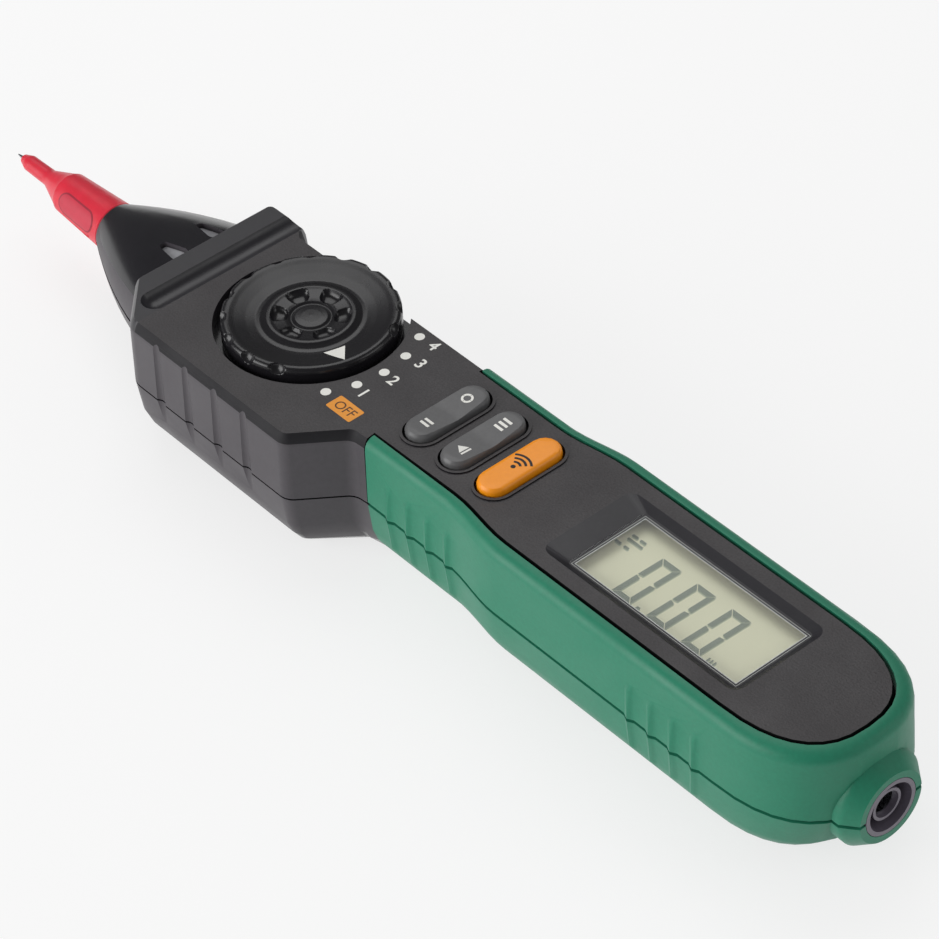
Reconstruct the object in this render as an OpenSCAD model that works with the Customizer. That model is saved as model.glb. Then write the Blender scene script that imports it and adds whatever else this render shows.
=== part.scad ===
// Pen multimeter: a hand-held meter with a probe tip at one end and a socket for the
// second lead at the other.
// +X runs from the probe tip to the lead socket, +Y away from the thumb side and +Z out of
// the fascia. The origin lies on the flat back, straight below the axis of the dial.

/* [Body] */
// Height of the fascia above the flat back
body_h = 25.8; // [25:0.1:27]
// Dial axis to the front ring of the nose
nose_reach = 53.9; // [52:0.1:56]
// Dial axis to the end wall of the handle
tail_reach = 127.2; // [126:0.1:130]
// Dial axis to the front end of the soft grip
grip_start = 28.4; // [28:0.1:29]
// Width of the handle across its neck, at the parting line
neck_w = 26.6; // [26:0.1:28]
// Width of the handle round the display, at the parting line
grip_w = 30.4; // [30:0.1:32]
// Thickness of the hard case walls
wall = 1.5; // [1.3:0.1:1.6]
// Thickness of the fascia plate
fascia_t = 2; // [1.8:0.1:2.2]
// Thickness of the soft grip skin
skin_t = 1.6; // [1.4:0.1:1.7]
// Gap between the front and the rear shells along the parting line
seam_gap = 0.3; // [0.2:0.05:0.4]
// Clearance between pieces that are fitted together
fit = 0.1; // [0.05:0.01:0.15]
// Radius of the rounded upper edge of the grip
grip_edge_r = 2; // [1.6:0.1:2.2]
// Bare strip of grip between its side and the fascia
grip_rim = 2.7; // [2.6:0.1:3]

/* [Head] */
// Dial axis to the front of the finger guard
guard_reach = 28.5; // [27.5:0.1:29.5]
// Centreline to the tip of the guard on the far side
guard_far = 15.6; // [14.5:0.1:16.5]
// Centreline to the thumb-side wall of the head
head_near = 22.1; // [21:0.1:23]
// Dial axis to the rear corner of the thumb-side wall
head_back = 19; // [18:0.1:20]
// Bevel round the edge of the fascia, across
bevel_w = 1.1; // [0.8:0.1:1.4]
// Bevel round the edge of the fascia, down
bevel_h = 1.6; // [1.2:0.1:2]
// Lean of the far wall between the parting line and the fascia
far_lean = 1.2; // [0.8:0.1:1.4]
// Number of flutes in the thumb-side wall
flute_n = 4; // [2:1:5]
// Pitch of the flutes
flute_pitch = 7.4; // [7:0.1:7.8]
// Depth of a flute
flute_d = 0.5; // [0.3:0.05:0.6]
// Width of a flute
flute_w = 2.2; // [1.8:0.1:2.6]
// Depth of the trough behind the guard's ridge
trough_d = 1.5; // [1.1:0.1:1.7]
// Width of that trough
trough_w = 4.8; // [4.4:0.1:5.2]

/* [Nose and probe] */
// Radius of the nose at its front ring
nose_tip_r = 4.7; // [4.6:0.1:5]
// Width of the nose where it meets the guard
nose_w = 29; // [28:0.1:29.4]
// Rise of the nose above the probe axis at the guard
nose_rise = 11.2; // [10.8:0.1:11.6]
// Radius of the steel probe pin
pin_r = 1; // [0.9:0.05:1.1]
// Pin beyond the front ring of the nose
pin_out = 28.7; // [27.5:0.1:30]
// Radius of the insulating collar round the pin
collar_r = 3.3; // [3.2:0.05:3.4]
// Collar beyond the front ring of the nose
collar_out = 8; // [7:0.1:9]
// Radius of the cap at its open end
cap_r = 4.6; // [4.5:0.05:4.8]
// Radius of the cap at its shoulder
cap_neck_r = 3.75; // [3.6:0.05:3.9]
// Radius of the cap's snout
snout_r = 1.45; // [1.4:0.05:1.6]
// Running clearance between the cap and the collar, and the cap and the pin
cap_fit = 0.06; // [0.03:0.01:0.09]
// Width of a smoked light window at the guard
window_w = 3.4; // [3:0.1:3.8]
// Length of a smoked light window
window_l = 6.8; // [6.4:0.1:7.4]
// Distance between the two windows
window_pitch = 7.6; // [7.2:0.1:8.4]

/* [Dial] */
// Radius of the dial
dial_r = 14.6; // [14:0.1:15]
// Gap between the dial and the wall of its recess
dial_gap = 1.3; // [1:0.1:1.4]
// Height of the dial's rim above the fascia
dial_proud = 1.75; // [1.4:0.05:2]
// Depth of the recess below the fascia
recess_d = 3; // [2.6:0.1:3.2]
// Angle between two neighbouring positions
dial_step = 16; // [14:0.5:18]
// Radius of the dial's shaft
shaft_r = 3.95; // [3.6:0.05:4.2]
// Radial running clearance of the shaft
shaft_fit = 0.05; // [0.02:0.01:0.09]
// Radius of the contact carrier below the dial
rotor_r = 11; // [10:0.1:11.5]

/* [Keys] */
// Dial axis to the middle of the first key
key_x = 32.9; // [32.7:0.1:33.2]
// Pitch of the keys
key_pitch = 8.45; // [8.3:0.05:8.6]
// Width of a key hole
key_w = 6.3; // [6:0.1:6.5]
// Length of a key hole
key_l = 16.5; // [16:0.1:17]
// Gap round a key in its hole
key_gap = 0.4; // [0.35:0.05:0.5]
// Height of a key above the fascia
key_proud = 1.4; // [1.1:0.1:1.7]
// Travel of the push key
key_travel = 0.6; // [0.4:0.05:0.7]

/* [Display] */
// Dial axis to the middle of the display
lcd_x = 87.6; // [87:0.1:88]
// Length of the window seen from the front
lcd_l = 35.6; // [35:0.1:36]
// Height of the window seen from the front
lcd_w = 15.5; // [15:0.1:16]
// Depth of the window below the fascia
lcd_sink = 0.9; // [0.7:0.05:1.1]
// Slope of the bezel on the long sides and the tail end
bezel = 1.5; // [1.2:0.1:1.8]
// Slope of the bezel at the end nearer the dial
bezel_front = 4.8; // [4.2:0.1:5.2]
// Thickness of the clear window
lens_t = 1.3; // [1.2:0.05:1.4]
// Thickness of the liquid-crystal glass
glass_t = 2.2; // [2:0.1:2.4]

/* [Electronics] */
// Height of the top of the circuit board above the back
board_top = 17.4; // [17.2:0.1:17.6]
// Thickness of the circuit board
board_t = 1.2; // [1:0.1:1.4]
// Radius of an AAA cell
cell_r = 5.25; // [5.1:0.05:5.25]
// Length of an AAA cell with its stud
cell_l = 44.5; // [44:0.1:44.5]
// Dial axis to the near end of the cell bay
bay_x = 59.5; // [59.2:0.1:60]
// Free length of the cell bay beyond the cells
bay_spare = 5; // [4.6:0.1:5.4]

/* [Lead socket] */
// Radius of the bore that takes a lead's plug
socket_r = 2; // [1.9:0.05:2.1]
// Length of the contact tube
socket_l = 15; // [14:0.1:16]
// Radius of the socket's shroud
shroud_r = 4.95; // [4.8:0.05:5.1]
// Distance the boss stands out of the handle's end wall
boss_out = 2.1; // [1.8:0.1:2.4]
// Radius of the boss at its face
boss_r = 6.2; // [6:0.1:6.6]

/* [Fasteners] */
// Radius of a case screw's shank
screw_r = 1.15; // [1:0.05:1.25]
// Radius of a case screw's head
screw_head_r = 2.2; // [2:0.05:2.4]
// Radius of a front screw boss
post_r = 2.6; // [2.4:0.1:2.8]

/* [Hidden] */
$fn = 64;

// Overrun of a cut past the surface that it opens
over = 1;
// The probe, the socket and the parting line share one height
axis_z = body_h/2;
front_z = axis_z + seam_gap/2;
rear_z = axis_z - seam_gap/2;
plate_z = body_h - fascia_t;

// Outline of the handle
neck_half = neck_w/2;
grip_half = grip_w/2;
// The neck widens to the grip between these two shares of the handle's length
waist_shares = [0.19, 0.325];
handle_l = tail_reach - grip_start;
waist_x0 = grip_start + waist_shares[0]*handle_l;
waist_x1 = grip_start + waist_shares[1]*handle_l;
// Where the end starts to round, in shares of the handle's width from the end wall
turn_x = tail_reach - 0.63*grip_w;
turn_power = 2.5;
// Where the back starts to rise towards the end, and how far it draws in
rise_x = tail_reach - 1.55*grip_w;
rise_e = 0.59*grip_w;
// Share of the half width that the rounded back draws in, and the roundness of that curve
back_share = 0.585;
back_power = 2.3;

// Grip ribs: four near the neck and four by the display, on both sides
ribs = 4;
rib_pitch = 4.6;
rib_x0s = [grip_start + 0.054*handle_l, grip_start + 0.63*handle_l];
rib_h = 0.55;
rib_half_w = 1.1;
rib_top = body_h - 6.1;
rib_low = 0.26*body_h;

// Levels of the lower half, as shares of the way from the parting line to the back
low_shares = [1, 0.985, 0.93, 0.82, 0.66, 0.45, 0];
hollow_shares = [0, 0.6, 0.9, 1];

// Head outline
neck_turn = [grip_start - 2.8, neck_half + 0.2];
near_front = guard_reach - 8.3;
guard_back = guard_reach - 9.2;
flute_r = (flute_w*flute_w/4 + flute_d*flute_d)/(2*flute_d);
flute_x0 = -13;
flute_low = 0.22*body_h;
trough_x = -21.2;
trough_r = (trough_w*trough_w/4 + trough_d*trough_d)/(2*trough_d);
trough_near = -15.5;

// Dial stack
recess_r = dial_r + dial_gap;
recess_z = body_h - recess_d;
cup_t = 1.6;
dial_y = -0.4;
dial_z = recess_z + 2*fit;
dial_top = body_h + dial_proud;
cup_z = recess_z - cup_t;
rotor_t = 1.5;
rotor_z = cup_z - 3*fit - rotor_t;

// Key stack
flange_t = 1.3;
flange_rim = 0.5;
flange_z = plate_z - 0.5 - flange_t;
key_hard_z = flange_z;
mat_t = 0.8;

// Display stack
lens_top = body_h - lcd_sink;
lens_z = lens_top - lens_t;
lens_rim = 1.3;
glass_z = lens_z - 0.3 - glass_t;
frame_wall = 1;

// Cell bay
bay_l = cell_l + bay_spare;
bay_half = 2*cell_r + 0.45;
bay_wall = 1;
cell_z = 8;
cell_y = cell_r + 0.15;
bay_roof = cell_z + cell_r + 0.2;
bay_roof_t = 1;
door_t = 1.8;
door_front = 8;
door_x0 = bay_x - door_front;
door_l = bay_l + door_front + 1.2;
door_screw_x = bay_x - 4.4;
door_post_r = 3.2;
shelf_t = 1.2;
door_half = bay_half + 0.5;
door_gap = 0.2;
door_top = 0.155*body_h;
lug_x = 0.33*bay_spare;

// Lead socket
shroud_wall = 0.75;
sleeve_r = 2.8;
socket_face = tail_reach + boss_out;
socket_sink = 1.8;
contact_wall = 0.28;
shroud_l = 15.5;
shroud_back = 2;
boss_base_r = boss_r + 1.9;

// Screws: two by the thumb-side wall, one in the guard and two beside the socket. The third
// value is the foot of the post round the screw, clear of the rounded back.
screw_spots = [
  [-14, -17, 0.17*body_h], [15.5, -17, 0.17*body_h], [trough_x - 0.3, 9.3, 0.1*body_h],
  [tail_reach - 11.7, 8.4, 0.3*body_h], [tail_reach - 11.7, -8.4, 0.3*body_h]
];
screw_head_h = 1.4;
screw_seat = 0.31*body_h;
screw_l = 0.43*body_h;
rear_post_r = post_r + 0.5;

// Colours
charcoal = "#4a4849";
gloss_black = "#2b2a2e";
green = "#2f8a6c";
red = "#d93a4c";
orange = "#ffa726";
key_grey = "#6e6e6e";
steel = "#c4c6ca";
brass = "#c9a44e";

function mix(a, b, t) = a + (b - a)*t;
function clamp(t) = min(max(t, 0), 1);
function smooth(t) = let (u = clamp(t)) u*u*(3 - 2*u);
function unit(v) = v/norm(v);
function signed_power(v, p) = sign(v)*pow(abs(v), p);

// A closed outline with the corners of a polygon rounded to the radii in rs
function rounded(pts, rs, n = 5) = [
  for (i = [0:len(pts) - 1])
    let (
      p = pts[i],
      u = unit(pts[(i + len(pts) - 1)%len(pts)] - p),
      v = unit(pts[(i + 1)%len(pts)] - p),
      r = is_list(rs) ? rs[i] : rs,
      half = acos(u*v)/2,
      c = p + unit(u + v)*r/sin(half),
      t0 = p + u*r/tan(half),
      t1 = p + v*r/tan(half),
      a0 = atan2(t0[1] - c[1], t0[0] - c[0]),
      turn = ((atan2(t1[1] - c[1], t1[0] - c[0]) - a0) + 540)%360 - 180
    )
    for (k = [0:r > 0 ? n : 0]) c + r*[cos(a0 + turn*k/n), sin(a0 + turn*k/n)]
];

// A closed counter-clockwise outline moved inwards by e
function inset(pts, e) = [
  for (i = [0:len(pts) - 1])
    let (
      a = unit(pts[i] - pts[(i + len(pts) - 1)%len(pts)]),
      b = unit(pts[(i + 1)%len(pts)] - pts[i]),
      m = unit([-a[1] - b[1], a[0] + b[0]])
    )
    pts[i] + m*e/max(0.5, m*[-b[1], b[0]])
];

// A slot with round ends: long along Y, counter-clockwise
function slot(w, l, n = 8) = concat(
  [for (k = [0:n]) [w/2*cos(180*k/n), (l - w)/2 + w/2*sin(180*k/n)]],
  [for (k = [0:n]) [-w/2*cos(180*k/n), -(l - w)/2 - w/2*sin(180*k/n)]]
);
function box_outline(x0, x1, y0, y1, r, n = 4) =
  rounded([[x0, y0], [x1, y0], [x1, y1], [x0, y1]], r, n);
function at(pts, z) = [for (p = pts) [p[0], p[1], z]];
function moved(pts, d) = [for (p = pts) p + d];

// Triangles that close a ring, taken across it from its first and last points onwards
function ladder(r, i, j) = j - i < 2 ? [] : r[i + 1][0] <= r[j - 1][0]
  ? concat([[i, i + 1, j]], ladder(r, i + 1, j))
  : concat([[i, j - 1, j]], ladder(r, i, j - 1));
// A closed solid through a stack of rings of equal length, lowest first, counter-clockwise
module skin(rings) {
  n = len(rings[0]);
  m = len(rings);
  faces = concat(
    ladder(rings[0], 0, n - 1),
    [for (t = ladder(rings[m - 1], 0, n - 1)) [for (k = [2:-1:0]) t[k] + (m - 1)*n]],
    [for (i = [0:m - 2]) for (j = [0:n - 1]) let (k = (j + 1)%n) each [
      [i*n + j, (i + 1)*n + j, (i + 1)*n + k], [i*n + j, (i + 1)*n + k, i*n + k]
    ]]
  );
  polyhedron([for (r = rings) each r], faces, convexity = 10);
}
// An open channel through a row of sections. Each section runs along the outer line and then
// back along the inner one, and the two ends are closed by strips between the lines.
module channel(sections) {
  n = len(sections[0]);
  m = len(sections);
  last = (m - 1)*n;
  faces = concat(
    [for (i = [0:m - 2]) for (j = [0:n - 1]) let (k = (j + 1)%n) each [
      [i*n + j, (i + 1)*n + j, (i + 1)*n + k], [i*n + j, (i + 1)*n + k, i*n + k]
    ]],
    [for (j = [0:n/2 - 2]) each [
      [j, j + 1, n - 2 - j], [j, n - 2 - j, n - 1 - j],
      [last + j, last + n - 2 - j, last + j + 1],
      [last + j, last + n - 1 - j, last + n - 2 - j]
    ]]
  );
  polyhedron([for (r = sections) each r], faces, convexity = 10);
}
module prism(pts, z0, z1) {
  translate([0, 0, z0]) linear_extrude(z1 - z0, convexity = 6) polygon(pts);
}
module slot_prism(w, l, z0, z1) {
  translate([-w/2, -(l - w)/2, z0]) cube([w, l - w, z1 - z0]);
  for (s = [-1, 1]) translate([0, s*(l - w)/2, z0]) cylinder(r = w/2, h = z1 - z0);
}
module block(x0, x1, y0, y1, z0, z1) {
  translate([x0, y0, z0]) cube([x1 - x0, y1 - y0, z1 - z0]);
}
// A cylinder along X between two stations on the probe axis
module rod_x(x0, x1, r0, r1 = -1, y = 0, z = axis_z) {
  translate([x0, y, z]) rotate([0, 90, 0])
    cylinder(r1 = r0, r2 = r1 < 0 ? r0 : r1, h = x1 - x0);
}

// Half width of the handle at the parting line
function side_half(x) = mix(neck_half, grip_half, smooth((x - waist_x0)/(waist_x1 - waist_x0)));
function rib_bump(x) = max([
  for (x0 = rib_x0s) for (k = [0:ribs - 1])
    let (d = abs(x - x0 - k*rib_pitch)/rib_half_w) d < 1 ? 0.5 + 0.5*cos(180*d) : 0
]);
rib_stations = [for (x0 = rib_x0s) [for (k = [0:ribs - 1]) for (s = [-1:0.5:1])
  x0 + k*rib_pitch + s*rib_half_w]];
waist_stations = [for (k = [1:6]) mix(max(waist_x0, max(rib_stations[0])), waist_x1, k/6)];
mid_stations = [for (k = [1:3]) mix(waist_x1, min(rib_stations[1]), k/4)];
fine_stations = concat([grip_start], rib_stations[0], waist_stations, mid_stations,
  rib_stations[1]);
coarse_stations = concat([grip_start], [for (k = [0:6]) mix(waist_x0, waist_x1, k/6)],
  [for (k = [1:3]) mix(waist_x1, turn_x, k/3.5)]);

// The plan of the handle, closed across the front at x_front. Each point is drawn in by
// e_side across and e_end along, and the ribs stand out by rib.
function handle_plan(stations, e_side, e_end, x_front, rib = 0, turns = 9) =
  let (
    side = [for (x = stations) [x == grip_start ? x_front : x, side_half(x) + rib*rib_bump(x)]],
    tail = [for (k = [0:2*turns])
      let (a = 90*k/turns - 90)
      [turn_x + (tail_reach - turn_x)*signed_power(cos(a), 2/turn_power),
       grip_half*signed_power(sin(a), 2/turn_power)]],
    ring = concat([for (p = side) [p[0], -p[1]]], tail,
      [for (i = [len(side) - 1:-1:0]) side[i]]),
    end_l = tail_reach - rise_x
  )
  [for (p = ring) [
    p[0] - e_end*pow(clamp((p[0] - rise_x)/end_l), 1.5),
    p[1]*(1 - e_side/grip_half)
  ]];
// How far the rounded back draws in at share t of the way down from the parting line
function back_e(t) = back_share*grip_half*(1 - pow(1 - pow(t, back_power), 1/back_power));
function rise_in(t) = rise_e*(1 - sqrt(1 - t*t));
function rib_fade(z) = z > rib_top || z < rib_low ? 0 : 1;

// The lower half of the handle, drawn in by e all round and lifted by e at the back, and
// carried up past the parting line by extra where it is a cut
module handle_low(e, x_front, stations, rib = 0, extra = 0) {
  skin(concat(
    [for (t = low_shares)
      let (z = mix(rear_z, e, t))
      at(handle_plan(stations, back_e(t) + e, rise_in(t) + e, x_front, rib*rib_fade(z)), z)],
    extra > 0 ? [at(handle_plan(stations, e, e, x_front), rear_z + extra)] : []
  ));
}
// The upper half of the grip's outer surface
module handle_high() {
  levels = concat(
    [[front_z, 0, 1], [rib_top - rib_half_w, 0.15, 1], [rib_top, 0.2, 0]],
    [for (a = [0:22.5:90]) [body_h - grip_edge_r*(1 - sin(a)),
      0.3 + grip_edge_r*(1 - cos(a)), 0]]
  );
  skin([for (l = levels)
    at(handle_plan(fine_stations, l[1], l[1], grip_start, rib_h*l[2]), l[0])]);
}

// Corners of the head's plan at the parting line, from the guard round to the grip and back
head_corners = [
  [-guard_reach, -nose_w/2], [-near_front, -head_near], [head_back, -head_near],
  [neck_turn[0], -neck_turn[1]], [grip_start, -neck_half], [grip_start, neck_half],
  [-guard_back + 2.4, neck_half], [-guard_back - 0.6, guard_far], [-guard_reach, guard_far]
];
head_rs = [2, 4, 3, 3, 0, 0, 2, 2.5, 2];
// The head's plan drawn in by e, with its end held at x_end
function head_plan(e, x_end = grip_start - wall) =
  let (c = inset(head_corners, e))
  rounded([for (i = [0:len(c) - 1]) i == 4 || i == 5 ? [x_end, c[i][1]] : c[i]],
    [for (r = head_rs) r == 0 ? 0 : max(r - e, 0.3*wall)]);
head_n = len(head_plan(0));
head_end = head_n - 20;
// The far side leans in towards the fascia
function leaning(pts, lean) = [for (p = pts) [p[0], p[1] > 0 ? p[1]*(1 - lean/neck_half) : p[1]]];

// The plan of the whole front case: the head drawn in by e, then the core of the handle
draft = 0.1*wall;
function case_ring(e, core, lean, x_step, z) =
  let (h = leaning(head_plan(e, x_step - draft), lean))
  at(concat([for (i = [0:head_end]) h[i]],
    handle_plan(coarse_stations, core, core, x_step),
    [for (i = [head_end + 1:head_n - 1]) h[i]]), z);
core_e = skin_t + fit;
module case_high() {
  shelf = grip_rim + fit;
  step_h = 0.2;
  skin([
    case_ring(wall + bevel_w, core_e + wall, far_lean, grip_start - wall, plate_z),
    case_ring(wall + 0.2*bevel_w, core_e + wall, 0.8*far_lean, grip_start - wall,
      plate_z - bevel_w),
    case_ring(wall, core_e + wall, 0, grip_start - wall, front_z),
    case_ring(0, core_e, 0, grip_start, front_z),
    case_ring(0.2*bevel_w, core_e, 0.7*far_lean, grip_start, plate_z - step_h),
    case_ring(0.22*bevel_w, shelf, 0.75*far_lean, grip_start, plate_z),
    case_ring(0.25*bevel_w, shelf, 0.8*far_lean, grip_start, body_h - bevel_h),
    case_ring(0.6*bevel_w, shelf, 0.95*far_lean, grip_start, body_h - 0.35*bevel_h),
    case_ring(bevel_w, shelf, far_lean, grip_start, body_h)
  ]);
}

// The lower half of the head: its sides draw in towards the back as the handle's do
function head_low_ring(t, e, top) =
  let (
    b = back_e(t),
    half_in = 1 - (b + e)/grip_half,
    h = head_plan(b/2 + e, grip_start - e),
    front = 1 - 0.12*(1 - sqrt(1 - t*t))
  )
  at([for (i = [0:head_n - 1]) i == head_end || i == head_end + 1
    ? [h[i][0], sign(h[i][1])*neck_half*half_in]
    : [h[i][0]*(h[i][0] < 0 ? front : 1), h[i][1]*(1 - b/2/head_near)]], mix(top, e, t));
module head_low() {
  skin(concat(
    [for (t = low_shares) head_low_ring(t, 0, rear_z)],
    [for (t = hollow_shares) head_low_ring(t, wall, rear_z)]
  ));
}
module core_low() {
  top = rear_z - fit;
  skin(concat(
    [for (t = low_shares) at(handle_plan(coarse_stations, back_e(t) + core_e,
      rise_in(t) + core_e, grip_start - wall/2), mix(top, core_e, t))],
    [for (t = hollow_shares) at(handle_plan(coarse_stations, back_e(t) + grip_half - bay_half,
      rise_in(t) + core_e + wall, grip_start + wall/2), mix(top, core_e + wall, t))]
  ));
}

// The nose: sections along X whose half width and rise swell from the front ring to the
// guard. side is 1 for the front shell and -1 for the rear.
nose_back = guard_reach - 3;
nose_z = seam_gap/2 + fit;
function nose_swell(u) = 1 - pow(1 - u, 1.6);
function nose_arc(u, e, side) =
  let (
    a = mix(nose_tip_r, nose_w/2, nose_swell(u)) - e,
    b = mix(nose_tip_r, nose_rise, nose_swell(u)) - e,
    p = 2/mix(2, 2.3, u)
  )
  [for (k = [0:14])
    let (th = 180*k/14 + (side > 0 ? 0 : 180))
    [-nose_reach + u*(nose_reach - nose_back), a*signed_power(cos(th), p),
     axis_z + side*max(nose_z, abs(b*signed_power(sin(th), p)))]];
function reversed(pts) = [for (i = [len(pts) - 1:-1:0]) pts[i]];
module nose_half(side) {
  channel([for (k = [0:10])
    let (u = k/10)
    concat(nose_arc(u, 0, side),
      reversed(nose_arc(u, k < 3 ? nose_tip_r + (k*0.2) - 2.4 : wall, side)))]);
}
// A solid nose drawn in by e, for trimming the windows
module nose_block(e) {
  skin([for (k = [0:5])
    [for (p = nose_arc(0.4 + 0.12*k, e, 1)) [p[0], p[1], p[2]]]]);
}

// Fluted grip on the thumb-side wall of the head
module flutes() {
  for (k = [0:flute_n - 1])
    translate([flute_x0 + k*flute_pitch, -head_near - flute_r + flute_d, flute_low])
      cylinder(r = flute_r, h = body_h, $fn = 32);
}
// The trough between the guard's ridge and the fascia
module trough() {
  translate([trough_x, trough_near, body_h - trough_d + trough_r]) {
    rotate([-90, 0, 0]) cylinder(r = trough_r, h = 2*guard_far);
    sphere(r = trough_r);
  }
}

// Outline of a light window: narrow towards the tip, round at the guard
function window_outline(s) = moved(rounded([
  [-guard_reach - window_l, -0.18*window_w], [-guard_reach - 0.6, -window_w/2],
  [-guard_reach - 0.6, window_w/2], [-guard_reach - window_l, 0.18*window_w]
], [0.16*window_w, 0.4*window_w, 0.4*window_w, 0.16*window_w], 4), [0, s*window_pitch/2]);

function screw_front_z(i) = screw_seat + screw_l;

module front_case() {
  color(charcoal) difference() {
    union() {
      case_high();
      nose_half(1);
      // Cup round the dial's recess
      intersection() {
        translate([0, dial_y, cup_z]) cylinder(r = recess_r + cup_t, h = plate_z - cup_z + fit);
        prism(leaning(head_plan(wall), far_lean), axis_z, body_h);
      }
      for (s = screw_spots) translate([s[0], s[1], front_z])
        cylinder(r = post_r, h = plate_z - front_z + fit);
      // Posts that the circuit board is clamped against
      for (x = [grip_start - 2.6, bay_x + 1]) for (y = [-7.6, 7.6])
        translate([x, y, board_top]) cylinder(r = 1.3, h = plate_z - board_top + fit);
      // Raised lips round the key holes
      for (k = [0:2]) translate([key_x + k*key_pitch, 0, 0])
        slot_prism(key_w + 1, key_l + 1, body_h - over, body_h + 0.25);
    }
    flutes();
    trough();
    // Way from the nose into the head
    block(-guard_reach - 2*wall, nose_pass_x, -pass_half, pass_half, axis_z - over,
      axis_z + 0.65*nose_rise);
    // Dial recess and the bore for its shaft
    translate([0, dial_y, recess_z]) cylinder(r = recess_r, h = recess_d + over, $fn = 96);
    translate([0, dial_y, cup_z - over])
      cylinder(r = shaft_r + shaft_fit, h = cup_t + 2*over);
    for (k = [0:2]) translate([key_x + k*key_pitch, 0, 0])
      slot_prism(key_w, key_l, plate_z - over, body_h + over);
    bezel_cut();
    prism(box_outline(lcd_x - lcd_l/2 - lens_rim - fit, lcd_x + lcd_l/2 + lens_rim + fit,
      -lcd_w/2 - lens_rim - fit, lcd_w/2 + lens_rim + fit, 0.6), plate_z - over, lens_top);
    // Light windows, probe collar, lead socket and screw holes
    for (s = [-1, 1]) prism(window_outline(s), axis_z + 0.4*nose_rise, body_h);
    collar_seat();
    rod_x(tail_reach - 8, tail_reach + over, shroud_r + fit);
    for (s = screw_spots) translate([s[0], s[1], front_z - over])
      cylinder(r = screw_r + 0.05, h = screw_seat + screw_l - front_z + over + 0.5);
  }
}

// The sloping frame sunk into the fascia round the display window
module bezel_cut() {
  skin([
    at(box_outline(lcd_x - lcd_l/2, lcd_x + lcd_l/2, -lcd_w/2, lcd_w/2, 0.8), lens_top - fit),
    at(box_outline(lcd_x - lcd_l/2 - bezel_front, lcd_x + lcd_l/2 + bezel,
      -lcd_w/2 - bezel, lcd_w/2 + bezel, 1.8), body_h),
    at(box_outline(lcd_x - lcd_l/2 - bezel_front, lcd_x + lcd_l/2 + bezel,
      -lcd_w/2 - bezel, lcd_w/2 + bezel, 1.8), body_h + over)
  ]);
}

nose_pass_x = 3*wall - guard_reach;
pass_half = 0.6*nose_w/2;
module collar_seat() {
  rod_x(-nose_reach - over, -nose_reach + 6, collar_r + fit/2);
  rod_x(-nose_reach + 4.3, -nose_reach + 6, collar_r + 0.7);
}
module door_box(grow) {
  block(door_x0 - grow, door_x0 + door_l + grow, -door_half - grow, door_half + grow,
    -over, door_top + grow);
}

module rear_case() {
  color(gloss_black) difference() {
    union() {
      head_low();
      nose_half(-1);
      core_low();
      // End walls and roof of the cell bay
      block(bay_x - bay_wall, bay_x + bay_l + bay_wall, -0.7*bay_half, 0.7*bay_half,
        core_e + wall/2, bay_roof + bay_roof_t);
      block(bay_x - bay_wall, bay_x + bay_l + bay_wall, -bay_half - 0.6, bay_half + 0.6,
        0.25*body_h, bay_roof + bay_roof_t);
      for (s = screw_spots) translate([s[0], s[1], s[2]])
        cylinder(r = rear_post_r, h = rear_z - s[2] - fit);
      // Shelf and post for the door's screw
      block(door_x0 - wall, bay_x - bay_wall/2, -0.62*neck_half, 0.62*neck_half,
        door_top - over, door_top + door_gap + shelf_t);
      translate([door_screw_x, 0, door_top]) cylinder(r = post_r, h = 0.2*body_h);
    }
    translate([door_screw_x, 0, 0]) cylinder(r = screw_r + 0.05, h = door_top + 0.19*body_h);
    block(bay_x, bay_x + bay_l, -bay_half, bay_half, -over, bay_roof);
    door_box(door_gap);
    flutes();
    // Ways from the nose into the head and from the head into the handle
    block(-guard_reach - 2*wall, nose_pass_x, -pass_half, pass_half,
      axis_z - 0.6*nose_rise, axis_z + over);
    block(grip_start - 2*wall, grip_start + 2*wall, -0.6*neck_half, 0.6*neck_half,
      0.3*body_h, axis_z + over);
    collar_seat();
    rod_x(tail_reach - 8, tail_reach + over, shroud_r + fit);
    // Room for the shroud's flange between the two tail posts
    rod_x(socket_face - shroud_l - 2*fit, socket_face - shroud_l + flange_l + 2*fit,
      flange_r + 2*fit);
    for (s = screw_spots) translate([s[0], s[1], -over]) {
      cylinder(r = screw_r + 0.25, h = axis_z + 2*over);
      cylinder(r = screw_head_r + 0.25, h = screw_seat + over);
    }
  }
}

module front_grip() {
  color(green) difference() {
    union() {
      handle_high();
      intersection() {
        socket_boss();
        block(turn_x, socket_face + over, -grip_half, grip_half, front_z, body_h);
      }
    }
    prism(handle_plan(coarse_stations, skin_t, skin_t, grip_start - over), axis_z,
      plate_z + fit);
    prism(handle_plan(coarse_stations, grip_rim, grip_rim, grip_start - over), axis_z,
      body_h + over);
    rod_x(tail_reach - 8, socket_face + over, shroud_r + fit);
  }
}

module rear_grip() {
  color(green) difference() {
    union() {
      handle_low(0, grip_start, fine_stations, rib_h);
      intersection() {
        socket_boss();
        block(turn_x, socket_face + over, -grip_half, grip_half, 0, rear_z);
      }
    }
    handle_low(skin_t, grip_start - over, coarse_stations, 0, over);
    door_box(door_gap);
    rod_x(tail_reach - 8, socket_face + over, shroud_r + fit);
    for (i = [3, 4]) translate([screw_spots[i][0], screw_spots[i][1], -over])
      cylinder(r = screw_head_r + 0.4, h = screw_seat + over);
  }
}
// The raised boss round the lead socket
module socket_boss() {
  rod_x(turn_x + over, tail_reach - 0.4, boss_base_r, boss_base_r);
  rod_x(tail_reach - 0.4, socket_face - 0.4, boss_base_r, boss_r + 0.3);
  rod_x(socket_face - 0.4, socket_face, boss_r + 0.3, boss_r);
}

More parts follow.
